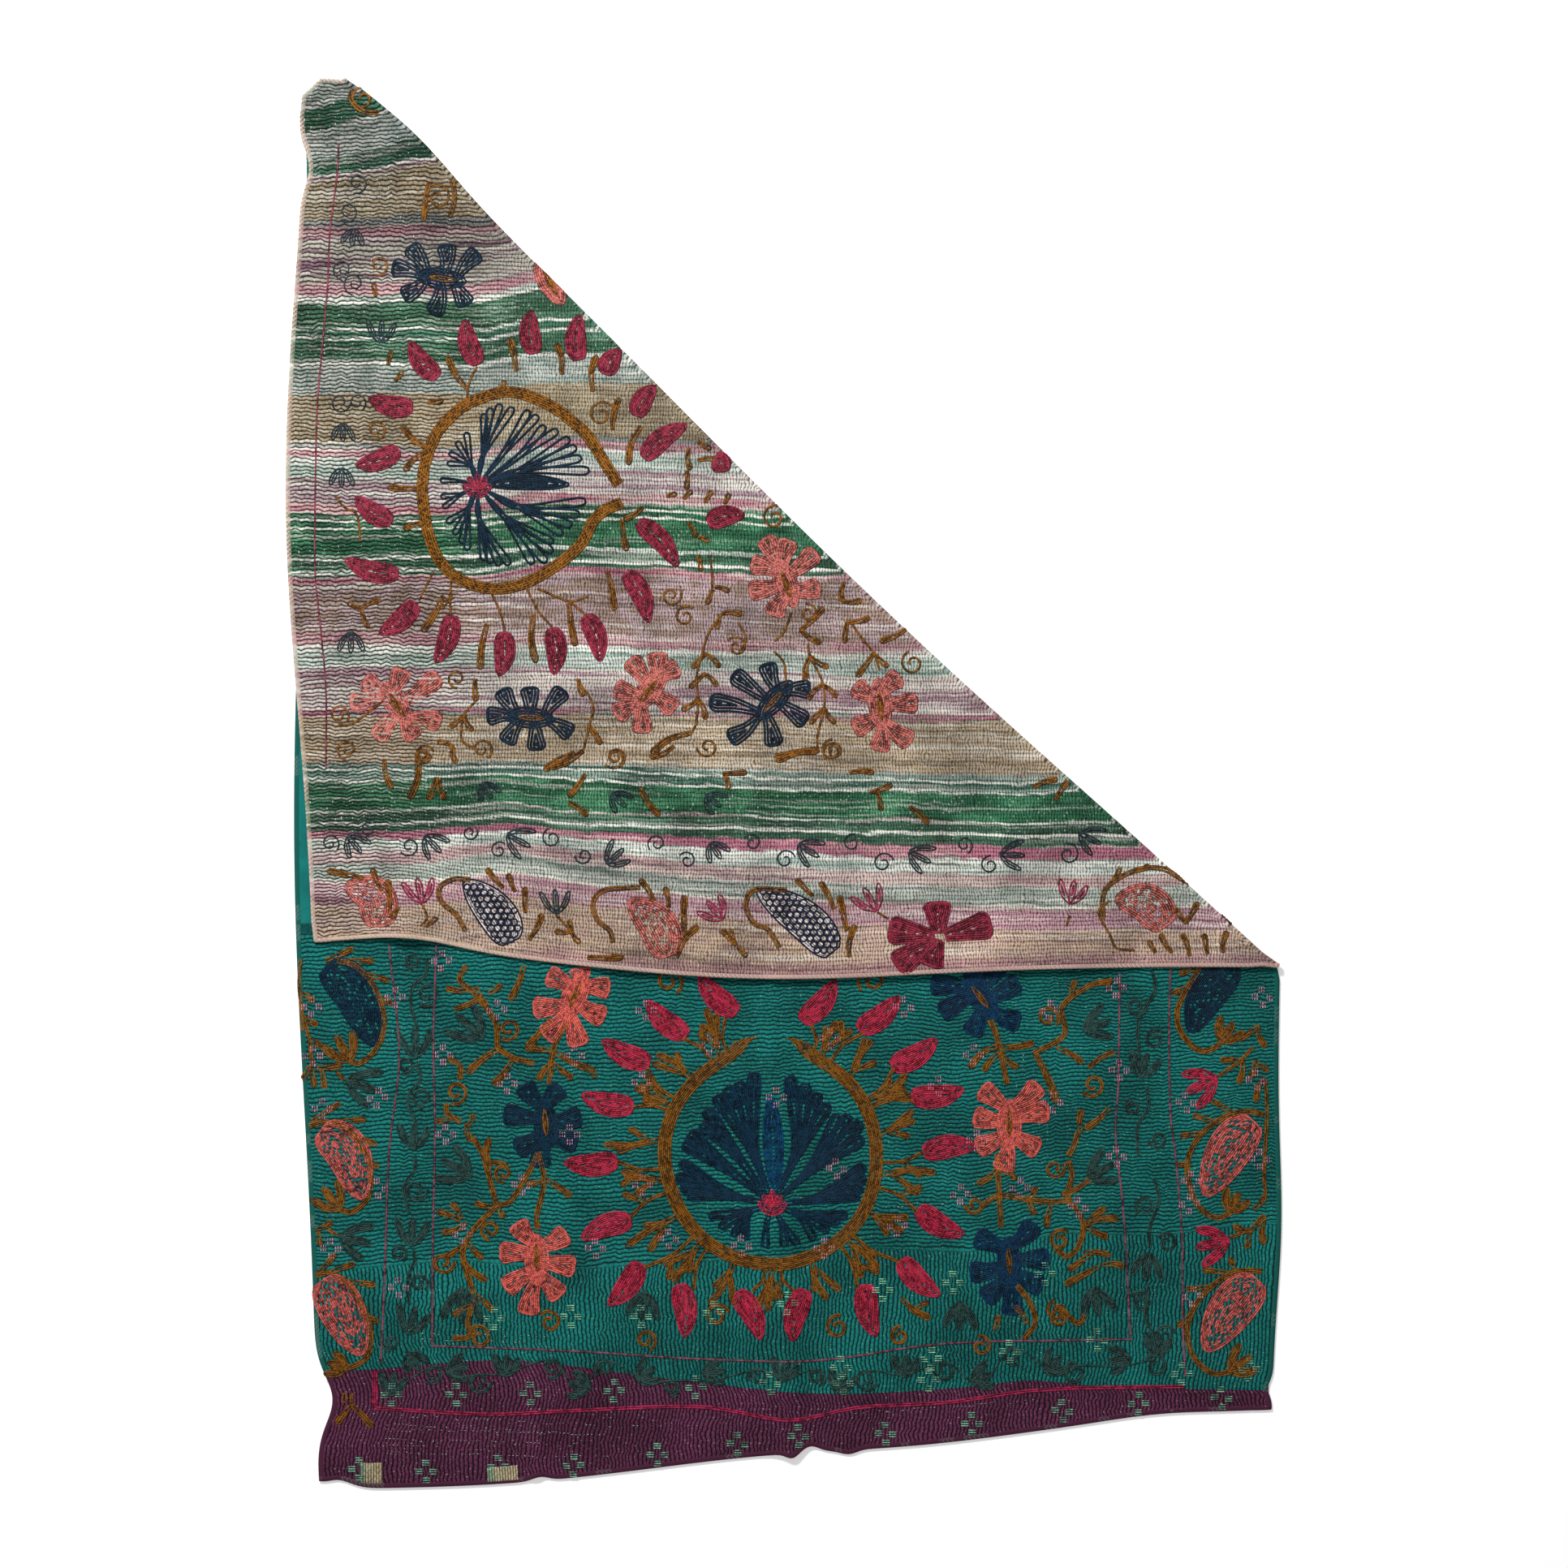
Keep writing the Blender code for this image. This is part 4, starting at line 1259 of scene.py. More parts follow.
TENDRILS = (
    # x, y and radius in mm
    (-408, -365, 17), (-486, -459, 18), (-415, -579, 14), (-434, -663, 15), (-505, -711, 17), (-171, -294, 22),
    (391, -348, 17), (458, -448, 18), (401, -572, 15), (409, -678, 16), (406, -782, 16), (283, -626, 14),
    (131, -293, 22), (-451, -822, 18), (-347, -799, 17), (-99, -790, 18), (80, -807, 18), (408, -794, 15),
    (-205, -826, 16), (172, -820, 14), (292, -835, 15),
)
SLATE_TULIPS = (
    # foot x, y in mm, the bearing it opens to in degrees, length in mm
    (-444, -381, 138, 58), (-460, -584, 152, 56), (-476, -746, 268, 58), (-651, -441, -18, 56),
    (-660, -671, -15, 52), (442, -369, 22, 48), (448, -588, 30, 50), (456, -746, 285, 48), (-205, -752, 262, 46),
    (262, -768, 268, 46),
)
PINK_TULIPS = (
    # foot x, y in mm, the bearing it opens to in degrees, length in mm
    (644, -436, 206, 54), (662, -678, 192, 54),
)
TEAL_LINES = (
    # points of the lines round the field, x, y in mm
    ((-515, -242), (-519, -380), (-517, -524), (-520, -680), (-521, -835)),
    ((-585, -242), (-570, -404), (-585, -548), (-591, -717), (-597, -862)),
    ((-521, -835), (-320, -842), (-127, -854), (53, -856), (246, -831), (517, -825)),
    ((498, -284), (496, -440), (492, -524), (504, -645), (514, -825)),
    ((573, -272), (571, -380), (573, -488), (580, -548), (590, -669), (591, -789), (595, -880)),
)
PLUM_LINES = (
    # points of the line along the end band, x, y in mm
    ((-606, -927), (-440, -936), (-320, -931), (-127, -925), (5, -944), (113, -926), (246, -918), (390, -899),
     (595, -895)),
)
VINE_STEMS = (
    # points of the slate stems down the sides, x, y in mm
    ((-529, -262), (-531, -285), (-549, -301), (-553, -325), (-549, -345), (-541, -369)),
    ((-543, -415), (-539, -441), (-555, -461), (-555, -481), (-543, -509)),
    ((-547, -554), (-547, -574), (-563, -600), (-555, -638)),
    ((-549, -694), (-547, -710), (-557, -734), (-555, -774)),
    ((546, -281), (550, -307), (526, -353), (526, -393), (528, -421)),
    ((538, -451), (540, -481), (524, -511), (526, -554)),
    ((550, -590), (556, -620), (542, -658), (542, -690)),
    ((540, -744), (536, -790), (544, -812), (550, -844)),
)
VINE_TENDRILS = (
    # x, y and radius in mm
    (-529, -313, 19), (-561, -419, 13), (-535, -467, 15), (-549, -266, 12), (-545, -604, 17), (-571, -698, 12),
    (-541, -742, 14), (-583, -830, 11), (522, -331, 16), (550, -381, 15), (518, -481, 12), (554, -529, 14),
    (536, -628, 15), (568, -682, 15), (528, -770, 16), (564, -820, 16),
)
VINE_HANDS = (
    # foot x, y in mm, the bearing it opens to in degrees, length in mm
    (-545, -411, 93, 52), (-549, -547, 88, 44), (-553, -690, 85, 48), (-559, -820, 72, 48), (528, -441, 75, 44),
    (542, -694, 262, 46), (550, -854, 80, 40), (-557, -842, 300, 34),
)
BOTTOM_VINES = (
    # x, y in mm of the vine's figures along the bottom
    (-581, -893), (-520, -876), (-485, -870), (-451, -888), (-412, -865), (-343, -867), (-301, -893),
    (-266, -867), (-205, -878), (-167, -897), (-105, -874), (-37, -881), (0, -872), (48, -881), (84, -890),
    (122, -884), (180, -866), (239, -870), (292, -882), (339, -849), (398, -863), (432, -875), (498, -854),
    (551, -865),
)
PINK_FIGURES = (
    # x, y in mm
    (-576, -318), (-505, -403), (-501, -521), (-425, -337), (-507, -264), (-310, -404), (-317, -521),
    (-204, -337), (-110, -389), (-209, -596), (-279, -690), (-171, -676), (-388, -596), (-11, -466), (78, -572),
    (168, -657), (69, -379), (177, -332), (229, -450), (281, -403), (399, -474), (493, -304), (497, -426),
    (493, -554), (596, -474), (601, -624), (709, -318), (700, -441), (705, -558), (394, -337), (286, -530),
    (436, -629), (606, -761), (-671, -690), (-571, -748), (-700, -332), (-684, -483), (-476, -669), (-698, -405),
    (-63, -686), (60, -690), (262, -610), (604, -590), (-602, -467), (-602, -601), (350, -600), (-410, -446),
    (-210, -443),
)
MINT_FIGURES = (
    (-429, -794), (-315, -791), (-211, -791), (-104, -785), (6, -771), (147, -752), (251, -741), (387, -728),
    (219, -854), (85, -867), (465, -826), (335, -843),
)
PLUM_FIGURES = (
    (-581, -907), (-485, -907), (-375, -905), (-251, -901), (-130, -896), (-629, -1017), (-530, -1021),
    (-423, -1014), (-311, -1012), (-187, -996), (-68, -980), (22, -968), (151, -965), (279, -950), (413, -931),
    (526, -920), (649, -912), (-20, -890), (88, -890), (215, -885), (590, -876), (690, -870),
)
WHITE_STITCHES = (
    # from x, y to x, y in mm
    (-608, -937, -200, -955), (-600, -951, -330, -962), (-596, -958, -250, -968), (-590, -973, -300, -982),
    (-585, -983, -420, -990), (-600, -993, -250, -1000), (-536, -817, -344, -820), (-536, -825, -380, -829),
    (-536, -825, -537, -861), (-446, -741, -447, -765), (133, -630, 235, -624), (235, -624, 264, -615),
    (264, -615, 366, -612), (366, -612, 471, -611), (355, -404, 354, -431), (100, -935, 380, -915),
)


PAISLEYS = (
    # colour, top, belly, tip, half width in m, then its hook, the hook's arms and its tulip's foot and bearing
    ("navy", (-680, -270), (-636, -311), (-607, -391), 0.0335,
     ((-663, -264), (-639, -270), (-614, -291), (-599, -321), (-592, -349), (-595, -376), (-609, -401),
      (-629, -416), (-643, -413)),
     ((-679, -264, -638, -246), (-653, -264, -607, -264), (-623, -282, -585, -294), (-603, -317, -580, -328)),
     (-641, -417, 118, 50)),
    ("coral", (-688, -514), (-647, -547), (-624, -619), 0.0335,
     ((-703, -509), (-679, -503), (-649, -512), (-630, -535), (-615, -558), (-612, -590), (-615, -612),
      (-625, -626), (-641, -636), (-659, -632)),
     ((-699, -501, -657, -475), (-669, -503, -619, -499), (-645, -519, -603, -537), (-618, -558, -601, -570)),
     (-655, -636, 128, 48)),
    ("coral", (-684, -735), (-657, -776), (-624, -850), 0.0345,
     ((-693, -730), (-673, -727), (-649, -738), (-629, -766), (-616, -794), (-612, -822), (-616, -848),
      (-631, -862), (-647, -867)),
     ((-691, -728, -663, -698), (-677, -727, -635, -712), (-647, -738, -605, -745), (-625, -788, -601, -799)),
     (-645, -870, 158, 34)),
    ("navy", (668, -266), (628, -311), (602, -372), 0.0300,
     ((622, -266), (598, -305), (584, -335), (585, -361), (598, -383), (614, -396), (630, -397), (646, -387),
      (652, -377)),
     ((618, -274, 586, -283), (602, -301, 576, -313)),
     (646, -388, 58, 40)),
    ("coral", (698, -500), (662, -541), (623, -614), 0.0335,
     ((710, -492), (688, -487), (656, -494), (624, -516), (604, -543), (598, -570), (602, -600), (612, -624),
      (628, -640), (646, -645), (664, -636)),
     ((668, -491, 634, -471), (640, -503, 606, -493), (620, -519, 588, -524), (602, -566, 584, -566)),
     (658, -640, 62, 38)),
    ("coral", (704, -735), (663, -780), (624, -844), 0.0345,
     ((708, -725), (690, -723), (662, -728), (630, -750), (608, -778), (598, -808), (602, -840), (616, -862),
      (638, -876), (662, -873)),
     ((664, -727, 620, -722), (670, -724, 661, -704), (632, -747, 596, -751), (606, -786, 584, -806)),
     (658, -876, 38, 46)),
)
EDGE_STEMS = (
    ((-716, -262), (-718, -301), (-714, -341), (-713, -369)),
    ((-714, -341), (-703, -381), (-699, -421)),
    ((644, -435), (662, -423), (678, -411), (696, -391)),
    ((714, -441), (716, -491), (712, -574), (714, -614)),
    ((662, -674), (678, -668), (694, -662)),
    ((-651, -441), (-663, -429)),
    ((-675, -662), (-660, -671)),
    ((-641, -905), (-640, -925)),
)
EDGE_LEAVES = (
    # from x, y to x, y in mm
    (-716, -311, -697, -325), (-712, -347, -691, -359), (-705, -379, -685, -391), (-691, -423, -655, -419),
    (-685, -427, -681, -453), (-703, -421, -712, -439), (-699, -425, -695, -451), (-693, -662, -669, -650),
    (-690, -666, -686, -686), (704, -361, 672, -381), (702, -361, 714, -392), (680, -413, 647, -411),
    (680, -413, 674, -446), (698, -415, 692, -437), (698, -413, 718, -427), (711, -437, 700, -473),
    (694, -664, 667, -657), (690, -668, 686, -690), (692, -664, 713, -642), (712, -644, 711, -684),
    (696, -632, 713, -613), (-640, -922, -662, -950), (-640, -922, -610, -955), (-650, -905, -652, -918),
)


def petal_runs():
    """The pink petals that stand round the medallion."""
    runs = []
    for angle, reach, lean in PETALS:
        way = polar(angle + lean, 0.0400)
        middle = MEDALLION + polar(angle, reach / 1000)
        bow = polar(angle + lean + 90, 0.006 if lean >= 0 else -0.006)
        runs += blade([middle - way, middle + bow, middle + way], 0.0182, petal_width)
    return runs


def knot_runs():
    """The small pink knot that the fans spread from: a low body with three points."""
    runs = blade([KNOT + mm(-22, 2), KNOT + mm(0, -8), KNOT + mm(22, 2)], 0.0105, leaf_width)
    for step in ((-13, 14), (0, 22), (13, 14)):
        runs += blade([KNOT + mm(step[0] * 0.3, -6), KNOT + mm(*step)], 0.0065, leaf_width)
    return runs


def fan_runs():
    """The navy fans inside the ring: fingers that leave the knot together, part at a waist and widen."""
    runs = []
    for waist, *tips in FANS:
        for tip in tips:
            middle = KNOT + mm(*waist) + (mm(*tip) - mm(*waist)) * 0.12
            half = 0.0050 + 0.040 * np.linalg.norm(mm(*tip)) * (0.90 if len(tips) > 3 else 1.10)
            runs += blade([KNOT + mm(*waist) * 0.22, middle, KNOT + mm(*tip)], half, finger_width)
    return runs


def palmette_runs(rows, colour, half=0.0178, row=None):
    """Flowers seen from the side: lobes that spread from a long middle and widen to blunt ends."""
    runs = []
    for kind, x, y, slant, *lobes in rows:
        if kind != colour:
            continue
        centre, axis = mm(x, y), polar(slant, 1.0)
        runs += blade([centre - axis * 0.042, centre + axis * 0.036], half * 1.05, leaf_width, row=row)
        for k, (angle, length) in enumerate(lobes):
            way = polar(angle, length / 1000)
            foot = centre + axis * float(way @ axis) * 0.34 + way * 0.05
            bend = (foot + centre + way) / 2 + polar(angle + 90, 0.004 * lattice(k, int(x), 77))
            runs += blade([foot, bend, centre + way], half, wedge_width, row=row)
    return runs


def palmette_bars(rows):
    """The ochre bar in the middle of each palmette."""
    runs = []
    for _, x, y, slant, *_ in rows:
        runs += blade([mm(x, y) - polar(slant, 0.021), mm(x, y) + polar(slant, 0.021)], 0.0048, leaf_width)
    return runs


def ring_runs():
    """The ochre ring, open at the top where its arms rise, with stems to the petals and sprigs between them.

    A petal's stem bows out from the ring to the petal's foot and has a leaf on its side. A sprig has a
    middle finger, a fork and a short finger low on the other side.
    """
    angles = np.linspace(97, 97 + 346, 120)
    wobble = 0.0025 * noise(angles, angles * 0, 40.0, 1.0, 61)
    rise = 0.019 * (np.exp(-(((angles - 97) / 12) ** 2)) + np.exp(-(((angles - 443) / 12) ** 2)))
    reach = RING_RADIUS + wobble + rise
    spots = MEDALLION + np.column_stack([np.cos(np.radians(angles)), np.sin(np.radians(angles))]) * reach[:, None]
    runs = [run[abs(k) : len(run) - abs(k)] for k, run in zip(range(-3, 4), side_by_side(spots, 7))]
    bearings = [row[0] for row in PETALS]
    for k, (angle, after) in enumerate(zip(bearings, bearings[1:] + [bearings[0] + 360])):
        side = 1 if k % 2 else -1
        if k < len(PETALS) - 1:
            middle = angle + ((after - angle) % 360) / 2
            tip = MEDALLION + polar(middle + 5 * lattice(k, 1, 62), 0.236 + 0.018 * lattice(k, 2, 62))
            foot = MEDALLION + polar(middle, RING_RADIUS + 0.006)
            half = (foot + tip) / 2 + polar(middle + 90, 0.006 * lattice(k, 3, 62))
            runs += blade([foot, half, tip], 0.0062, sprig_width)
            fork = foot + (tip - foot) * 0.22
            runs += blade([fork, fork + polar(middle + side * 27, 0.050)], 0.0062, sprig_width)
            runs += blade([fork, fork + polar(middle - side * 24, 0.034)], 0.0056, sprig_width)
        start = MEDALLION + polar(angle - side * 5, RING_RADIUS + 0.004)
        petal_foot = MEDALLION + polar(angle, PETALS[k][1] / 1000 - 0.036)
        bow = (start + petal_foot) / 2 + polar(angle - side * 90, 0.007)
        runs += side_by_side(smooth_curve([start, bow, petal_foot], 8), 2)
        runs += blade([bow, bow + polar(angle - side * 42, 0.036)], 0.0056, sprig_width)
    return runs


def vine_runs(stems, leaves, spirals, rows=3, row=None):
    """Vines: stems a few rows wide, leaves that widen to a round end, and tendrils that wind in."""
    runs = []
    for points in stems:
        runs += side_by_side(smooth_curve(mm(*points), 12), rows, row)
    for k, (x, y, to_x, to_y) in enumerate(leaves):
        foot, tip = mm(x, y), mm(to_x, to_y)
        across = np.array((foot[1] - tip[1], tip[0] - foot[0]))
        half = 0.0046 + 0.030 * np.linalg.norm(tip - foot)
        runs += blade([foot, (foot + tip) / 2 + 0.10 * lattice(k, 5, 71) * across, tip], half, sprig_width, row=row)
    for k, (x, y, radius) in enumerate(spirals):
        way = 1 if lattice(k, 6, 71) > 0 else -1
        start = 180 * lattice(k, 7, 71)
        runs += side_by_side(spiral(mm(x, y), radius / 1000, start, 1.3, way), min(rows, 2), row)
    return runs


def tulip_runs(rows, half=0.0062, row=None):
    """Small flowers of three blades that spread from one foot, each row x, y, bearing and length in mm."""
    runs = []
    for x, y, bearing, length in rows:
        for side, share in ((-30, 1.0), (0, 0.96), (30, 1.06)):
            tip = mm(x, y) + polar(bearing + side, length * share / 1000)
            bend = mm(x, y) + polar(bearing + side * 1.2, length * 0.5 / 1000)
            runs += blade([mm(x, y) + polar(bearing, 0.003), bend, tip], half, hand_width, row=row)
    return runs


def bottom_vine():
    """The slate vine along the bottom: a waving stem, with tendrils and three-bladed flowers in turn."""
    spots = mm(*BOTTOM_VINES)
    away = np.where(np.arange(len(spots)) % 2, 0.011, -0.011)
    runs = side_by_side(smooth_curve(spots + np.column_stack([away * 0, away]), 12), 1)
    for k, spot in enumerate(spots):
        turn = 180 * lattice(k, 8, 72)
        if k % 2:
            reach = 0.0155 * (1 + 0.2 * lattice(k, 9, 72))
            runs += side_by_side(spiral(spot, reach, turn, 1.35, 1 if k % 4 == 1 else -1), 2)
        else:
            facing = 90 + 110 * lattice(k, 11, 72)
            foot = (spot - polar(facing, 0.018)) * 1000
            runs += tulip_runs([(foot[0], foot[1], facing, 38)], 0.0068)
    return runs


def paisley_runs(top, belly, tip, half, filled, row=None):
    """A paisley: a drop that bends to its tip, its outline closed and its inside open here and there."""
    drop = blade([top, belly, tip], half, petal_width, 16, row)
    pieces = []
    for k, run in enumerate(drop[2:]):
        cuts = np.arange(0, len(run) - 2, 2)
        pieces += [run[j : j + 3] for j in cuts if lattice(j, k, 73) < filled]
    return drop[:2] + pieces


def hook_runs(points, arms, rows=3, row=None):
    """The ochre hook over a paisley, with arms on its outside."""
    runs = side_by_side(smooth_curve(mm(*points), 12), rows, row)
    for x, y, to_x, to_y in arms:
        runs += blade([mm(x, y), mm(to_x, to_y)], 0.0052, sprig_width, row=row)
    return runs


def dashes(x, y, across, down, wide, tall, upright):
    """A small block of short floats: upright ones side by side, or level ones above each other."""
    runs = []
    for i in range(across):
        for j in range(down):
            spot = mm(x + (i - (across - 1) / 2) * wide, y + (j - (down - 1) / 2) * tall)
            half = mm(0, tall * 0.40) if upright else mm(wide * 0.46, 0)
            runs.append(np.array([spot - half, spot, spot + half]))
    return runs


def figure_runs(spots, wide, tall, block):
    """Woven figures in the shape of a plus: four blocks of floats round a middle."""
    runs = []
    for k, (x, y) in enumerate(spots):
        slant = 1.5 * lattice(k, 10, 74)
        for dx, dy in ((wide, slant), (-wide, -slant), (slant, tall), (-slant, -tall)):
            runs += dashes(x + dx, y + dy, *block)
    return runs


def running_stitches(rows):
    """Rows of single stitches with gaps: each row x, y, to x, to y in mm."""
    runs = []
    for x, y, to_x, to_y in rows:
        start, way = mm(x, y), mm(to_x - x, to_y - y)
        count = max(int(np.linalg.norm(way) / 0.0058), 1)
        share = np.arange(count) / count
        for k, s in enumerate(share):
            if lattice(k, int(y), 75) > -0.1:
                drift = mm(0, 2.2 * lattice(k // 4, int(x), 76))
                runs.append(np.array([start + way * (s + step / count) for step in (0, 0.2, 0.4)]) + drift)
    return runs


BACK_KNOT = mm(-454, 439)
BACK_RING = (
    (-240, 414), (-265, 403), (-283, 386), (-300, 354), (-336, 322), (-382, 296), (-424, 287), (-470, 296),
    (-505, 322), (-524, 361), (-533, 407), (-535, 442), (-530, 477), (-516, 513), (-498, 537), (-470, 560),
    (-424, 577), (-389, 576), (-343, 557), (-311, 533), (-290, 513), (-269, 480), (-244, 440),
)
BACK_PETALS = (
    # round end x, y, then tip x, y in mm
    (-512, 600, -554, 653), (-452, 619, -472, 686), (-369, 635, -374, 700), (-304, 625, -302, 693),
    (-265, 605, -242, 640), (-219, 543, -191, 587), (-549, 556, -615, 570), (-570, 493, -634, 470),
    (-579, 386, -634, 423), (-569, 308, -650, 331), (-544, 266, -599, 220), (-491, 248, -516, 177),
    (-415, 223, -422, 158), (-343, 229, -341, 160), (-293, 248, -272, 179), (-233, 312, -200, 237),
    (-216, 386, -157, 320), (-208, 480, -143, 530), (-104, 477, -82, 463), (-113, 385, -58, 396),
)
BACK_LEAVES = (
    # from x, y to x, y in mm: round the medallion, right of it, below it, then along the border
    (-526, 495, -565, 527), (-530, 492, -562, 462), (-533, 437, -586, 437), (-532, 386, -562, 375),
    (-505, 276, -535, 223), (-491, 276, -509, 259), (-440, 234, -450, 167), (-371, 248, -367, 177),
    (-318, 266, -309, 202), (-261, 312, -251, 255), (-212, 527, -230, 470), (-240, 389, -233, 343),
    (-209, 407, -237, 389), (-470, 584, -498, 632), (-396, 610, -406, 658), (-329, 605, -337, 651),
    (-283, 580, -277, 633), (-254, 524, -244, 570), (-586, 619, -581, 639), (-576, 595, -565, 609),
    (-424, 580, -413, 595), (-526, 563, -505, 566), (-604, 720, -607, 739), (-532, 835, -528, 856),
    (-629, 255, -597, 271), (-625, 252, -615, 230), (-629, 259, -645, 266), (-141, 494, -139, 463),
    (-143, 461, -144, 434), (-127, 477, -99, 477), (-141, 385, -130, 364), (-127, 364, -111, 357),
    (-127, 336, -123, 314), (-102, 290, -81, 283), (-106, 286, -114, 265), (-91, 251, -63, 249),
    (-93, 249, -99, 228), (-116, 191, -95, 171), (-116, 191, -136, 170), (-118, 161, -139, 141),
    (-118, 161, -99, 143), (-127, 124, -151, 108), (-127, 124, -116, 94), (-137, 74, -197, 43),
    (25, 226, 59, 260), (25, 226, 55, 207), (89, 297, 85, 269), (87, 269, 115, 270), (94, 237, 90, 207),
    (94, 237, 127, 244), (39, 187, 32, 152), (39, 187, 66, 171), (57, 145, 36, 124), (57, 145, 78, 127),
    (60, 110, 39, 88), (60, 110, 76, 88), (50, 48, -12, 32), (133, 191, 108, 157), (133, 191, 154, 171),
    (180, 226, 142, 209), (-127, 505, -108, 494), (-173, 424, -159, 427), (-148, 420, -136, 431),
    (-116, 415, -106, 431), (-88, 413, -81, 427), (-457, 153, -456, 121), (-473, 100, -494, 82),
    (-473, 100, -461, 77), (-304, 153, -297, 128), (-288, 84, -271, 57), (-297, 47, -346, 22),
    (-163, 54, -198, 38), (-491, 54, -512, 61), (-491, 54, -486, 29), (-542, 44, -554, -25),
    (-514, 7, -526, -25), (-511, 7, -501, -25), (-591, 32, -579, -9), (-310, 44, -355, 18),
    (-290, 81, -272, 58), (-294, 12, -318, -21), (-318, -29, -290, -49), (-213, -9, -184, -49),
    (-90, 13, -55, 15), (-87, 10, -82, -9), (-12, 39, 53, 48), (98, 15, 133, 15), (128, -14, 160, -3),
    (139, -14, 144, -41), (187, -36, 214, -60), (370, -6, 405, 5), (402, -25, 420, 2),
    (-623, -141, -676, -130), (-595, -159, -609, -127), (-585, -184, -586, -143), (-416, -155, -440, -127),
    (-398, -161, -408, -135), (-383, -192, -383, -155), (-377, -232, -358, -194), (-192, -174, -213, -143),
    (-170, -184, -176, -155), (-147, -224, -147, -167), (-158, -257, -127, -212), (-570, -184, -581, -200),
    (-314, -220, -339, -220), (-314, -220, -302, -237), (-314, -218, -318, -204), (-530, -212, -514, -200),
    (-290, -259, -237, -258), (42, -167, 19, -143), (74, -186, 54, -147), (93, -218, 82, -167),
    (96, -257, 105, -210), (-71, -240, -92, -218), (-71, -240, -79, -218), (-68, -243, -55, -257),
    (488, -143, 498, -127), (520, -132, 541, -123), (550, -251, 541, -234), (574, -251, 558, -224),
    (601, -256, 590, -224), (627, -253, 622, -224), (650, -251, 656, -220), (595, -208, 613, -177),
    (595, -208, 579, -186), (662, -210, 650, -194),
)
BACK_STEMS = (
    # points of each stem, x, y in mm
    ((-116, 209), (-120, 194), (-129, 159), (-127, 124), (-130, 88), (-137, 74)),
    ((-109, 336), (-106, 304), (-106, 286)),
    ((-93, 249), (-109, 226), (-116, 209)),
    ((-67, 237), (-56, 212), (-67, 194)),
    ((36, 205), (39, 187), (57, 149), (60, 113), (50, 71), (50, 48)),
    ((11, 251), (0, 223), (-14, 209)),
    ((-14, 194), (0, 177), (4, 145)),
    ((99, 237), (117, 212), (133, 191), (142, 166)),
    ((-491, 312), (-494, 276), (-493, 248)),
    ((-434, 283), (-420, 252), (-413, 223)),
    ((-382, 290), (-364, 255), (-343, 230)),
    ((-318, 269), (-293, 248)),
    ((-364, 287), (-318, 269), (-290, 276)),
    ((-519, 312), (-540, 269)),
    ((-470, 559), (-466, 591), (-454, 617)),
    ((-456, 121), (-473, 100), (-477, 64), (-456, 50)),
    ((-593, 121), (-636, 89), (-660, 86)),
    ((-307, 153), (-283, 117), (-288, 84), (-297, 47)),
    ((-583, -151), (-581, -192), (-585, -200)),
    ((-337, -196), (-322, -212), (-314, -220)),
    ((-534, -182), (-528, -200), (-538, -212)),
    ((139, -192), (155, -202)),
    ((423, -197), (418, -213)),
    ((482, -175), (466, -192), (482, -224), (493, -245), (520, -248)),
    ((-664, 424), (-650, 407), (-632, 396), (-627, 357)),
)
BACK_TENDRILS = (
    # x, y and radius in mm
    (-600, 766, 16), (-604, 523, 16), (-484, 154, 14), (-646, 49, 16), (-535, 40, 13), (-447, 50, 16),
    (-659, 100, 16), (-251, 36, 16), (-167, 277, 16), (-146, 246, 16), (191, 177, 18), (-113, 53, 16),
    (74, 46, 16), (-70, 201, 16), (-512, 866, 21), (-270, 545, 21), (-14, 392, 18), (-532, 42, 14),
    (-249, 38, 15), (71, 48, 16), (36, 251, 14), (-623, 1012, 18),
)
BACK_SLATE_TENDRILS = (
    # x, y and radius in mm
    (-646, 845, 16), (-632, 888, 16), (-653, 760, 16), (-636, 739, 17), (-657, 563, 16), (-632, 563, 14),
    (-672, -90, 14), (-554, -94, 15), (-465, -74, 12), (-422, -100, 13), (-343, -82, 15), (-296, -108, 13),
    (-188, -90, 14), (-143, -115, 13), (-47, -89, 13), (2, -114, 15), (101, -89, 13), (147, -119, 16),
    (267, -92, 13), (305, -122, 14), (421, -106, 17), (-615, -70, 11),
)
BACK_SLATE_HANDS = (
    # foot x, y in mm, the bearing it opens to in degrees, length in mm
    (-637, 824, -95, 32), (-597, 647, 87, 42), (-653, 535, -90, 32), (-655, 470, -90, 35),
    (-641, 227, -90, 38), (-648, -76, -51, 38), (-534, -76, -46, 40), (-414, -75, -27, 46),
    (-265, -123, 42, 40), (-111, -86, -56, 34), (18, -89, -32, 42), (182, -100, -27, 42), (316, -106, -3, 43),
    (434, -73, -27, 42), (-448, 3, -60, 32), (-257, -13, -45, 34), (-119, -17, -36, 34), (-336, -198, 94, 43),
)
BACK_PINK_TULIPS = (
    # foot x, y in mm, the bearing it opens to in degrees, length in mm
    (-534, -182, 101, 44), (-88, -205, 131, 41), (139, -193, 119, 45), (423, -183, 79, 41),
)
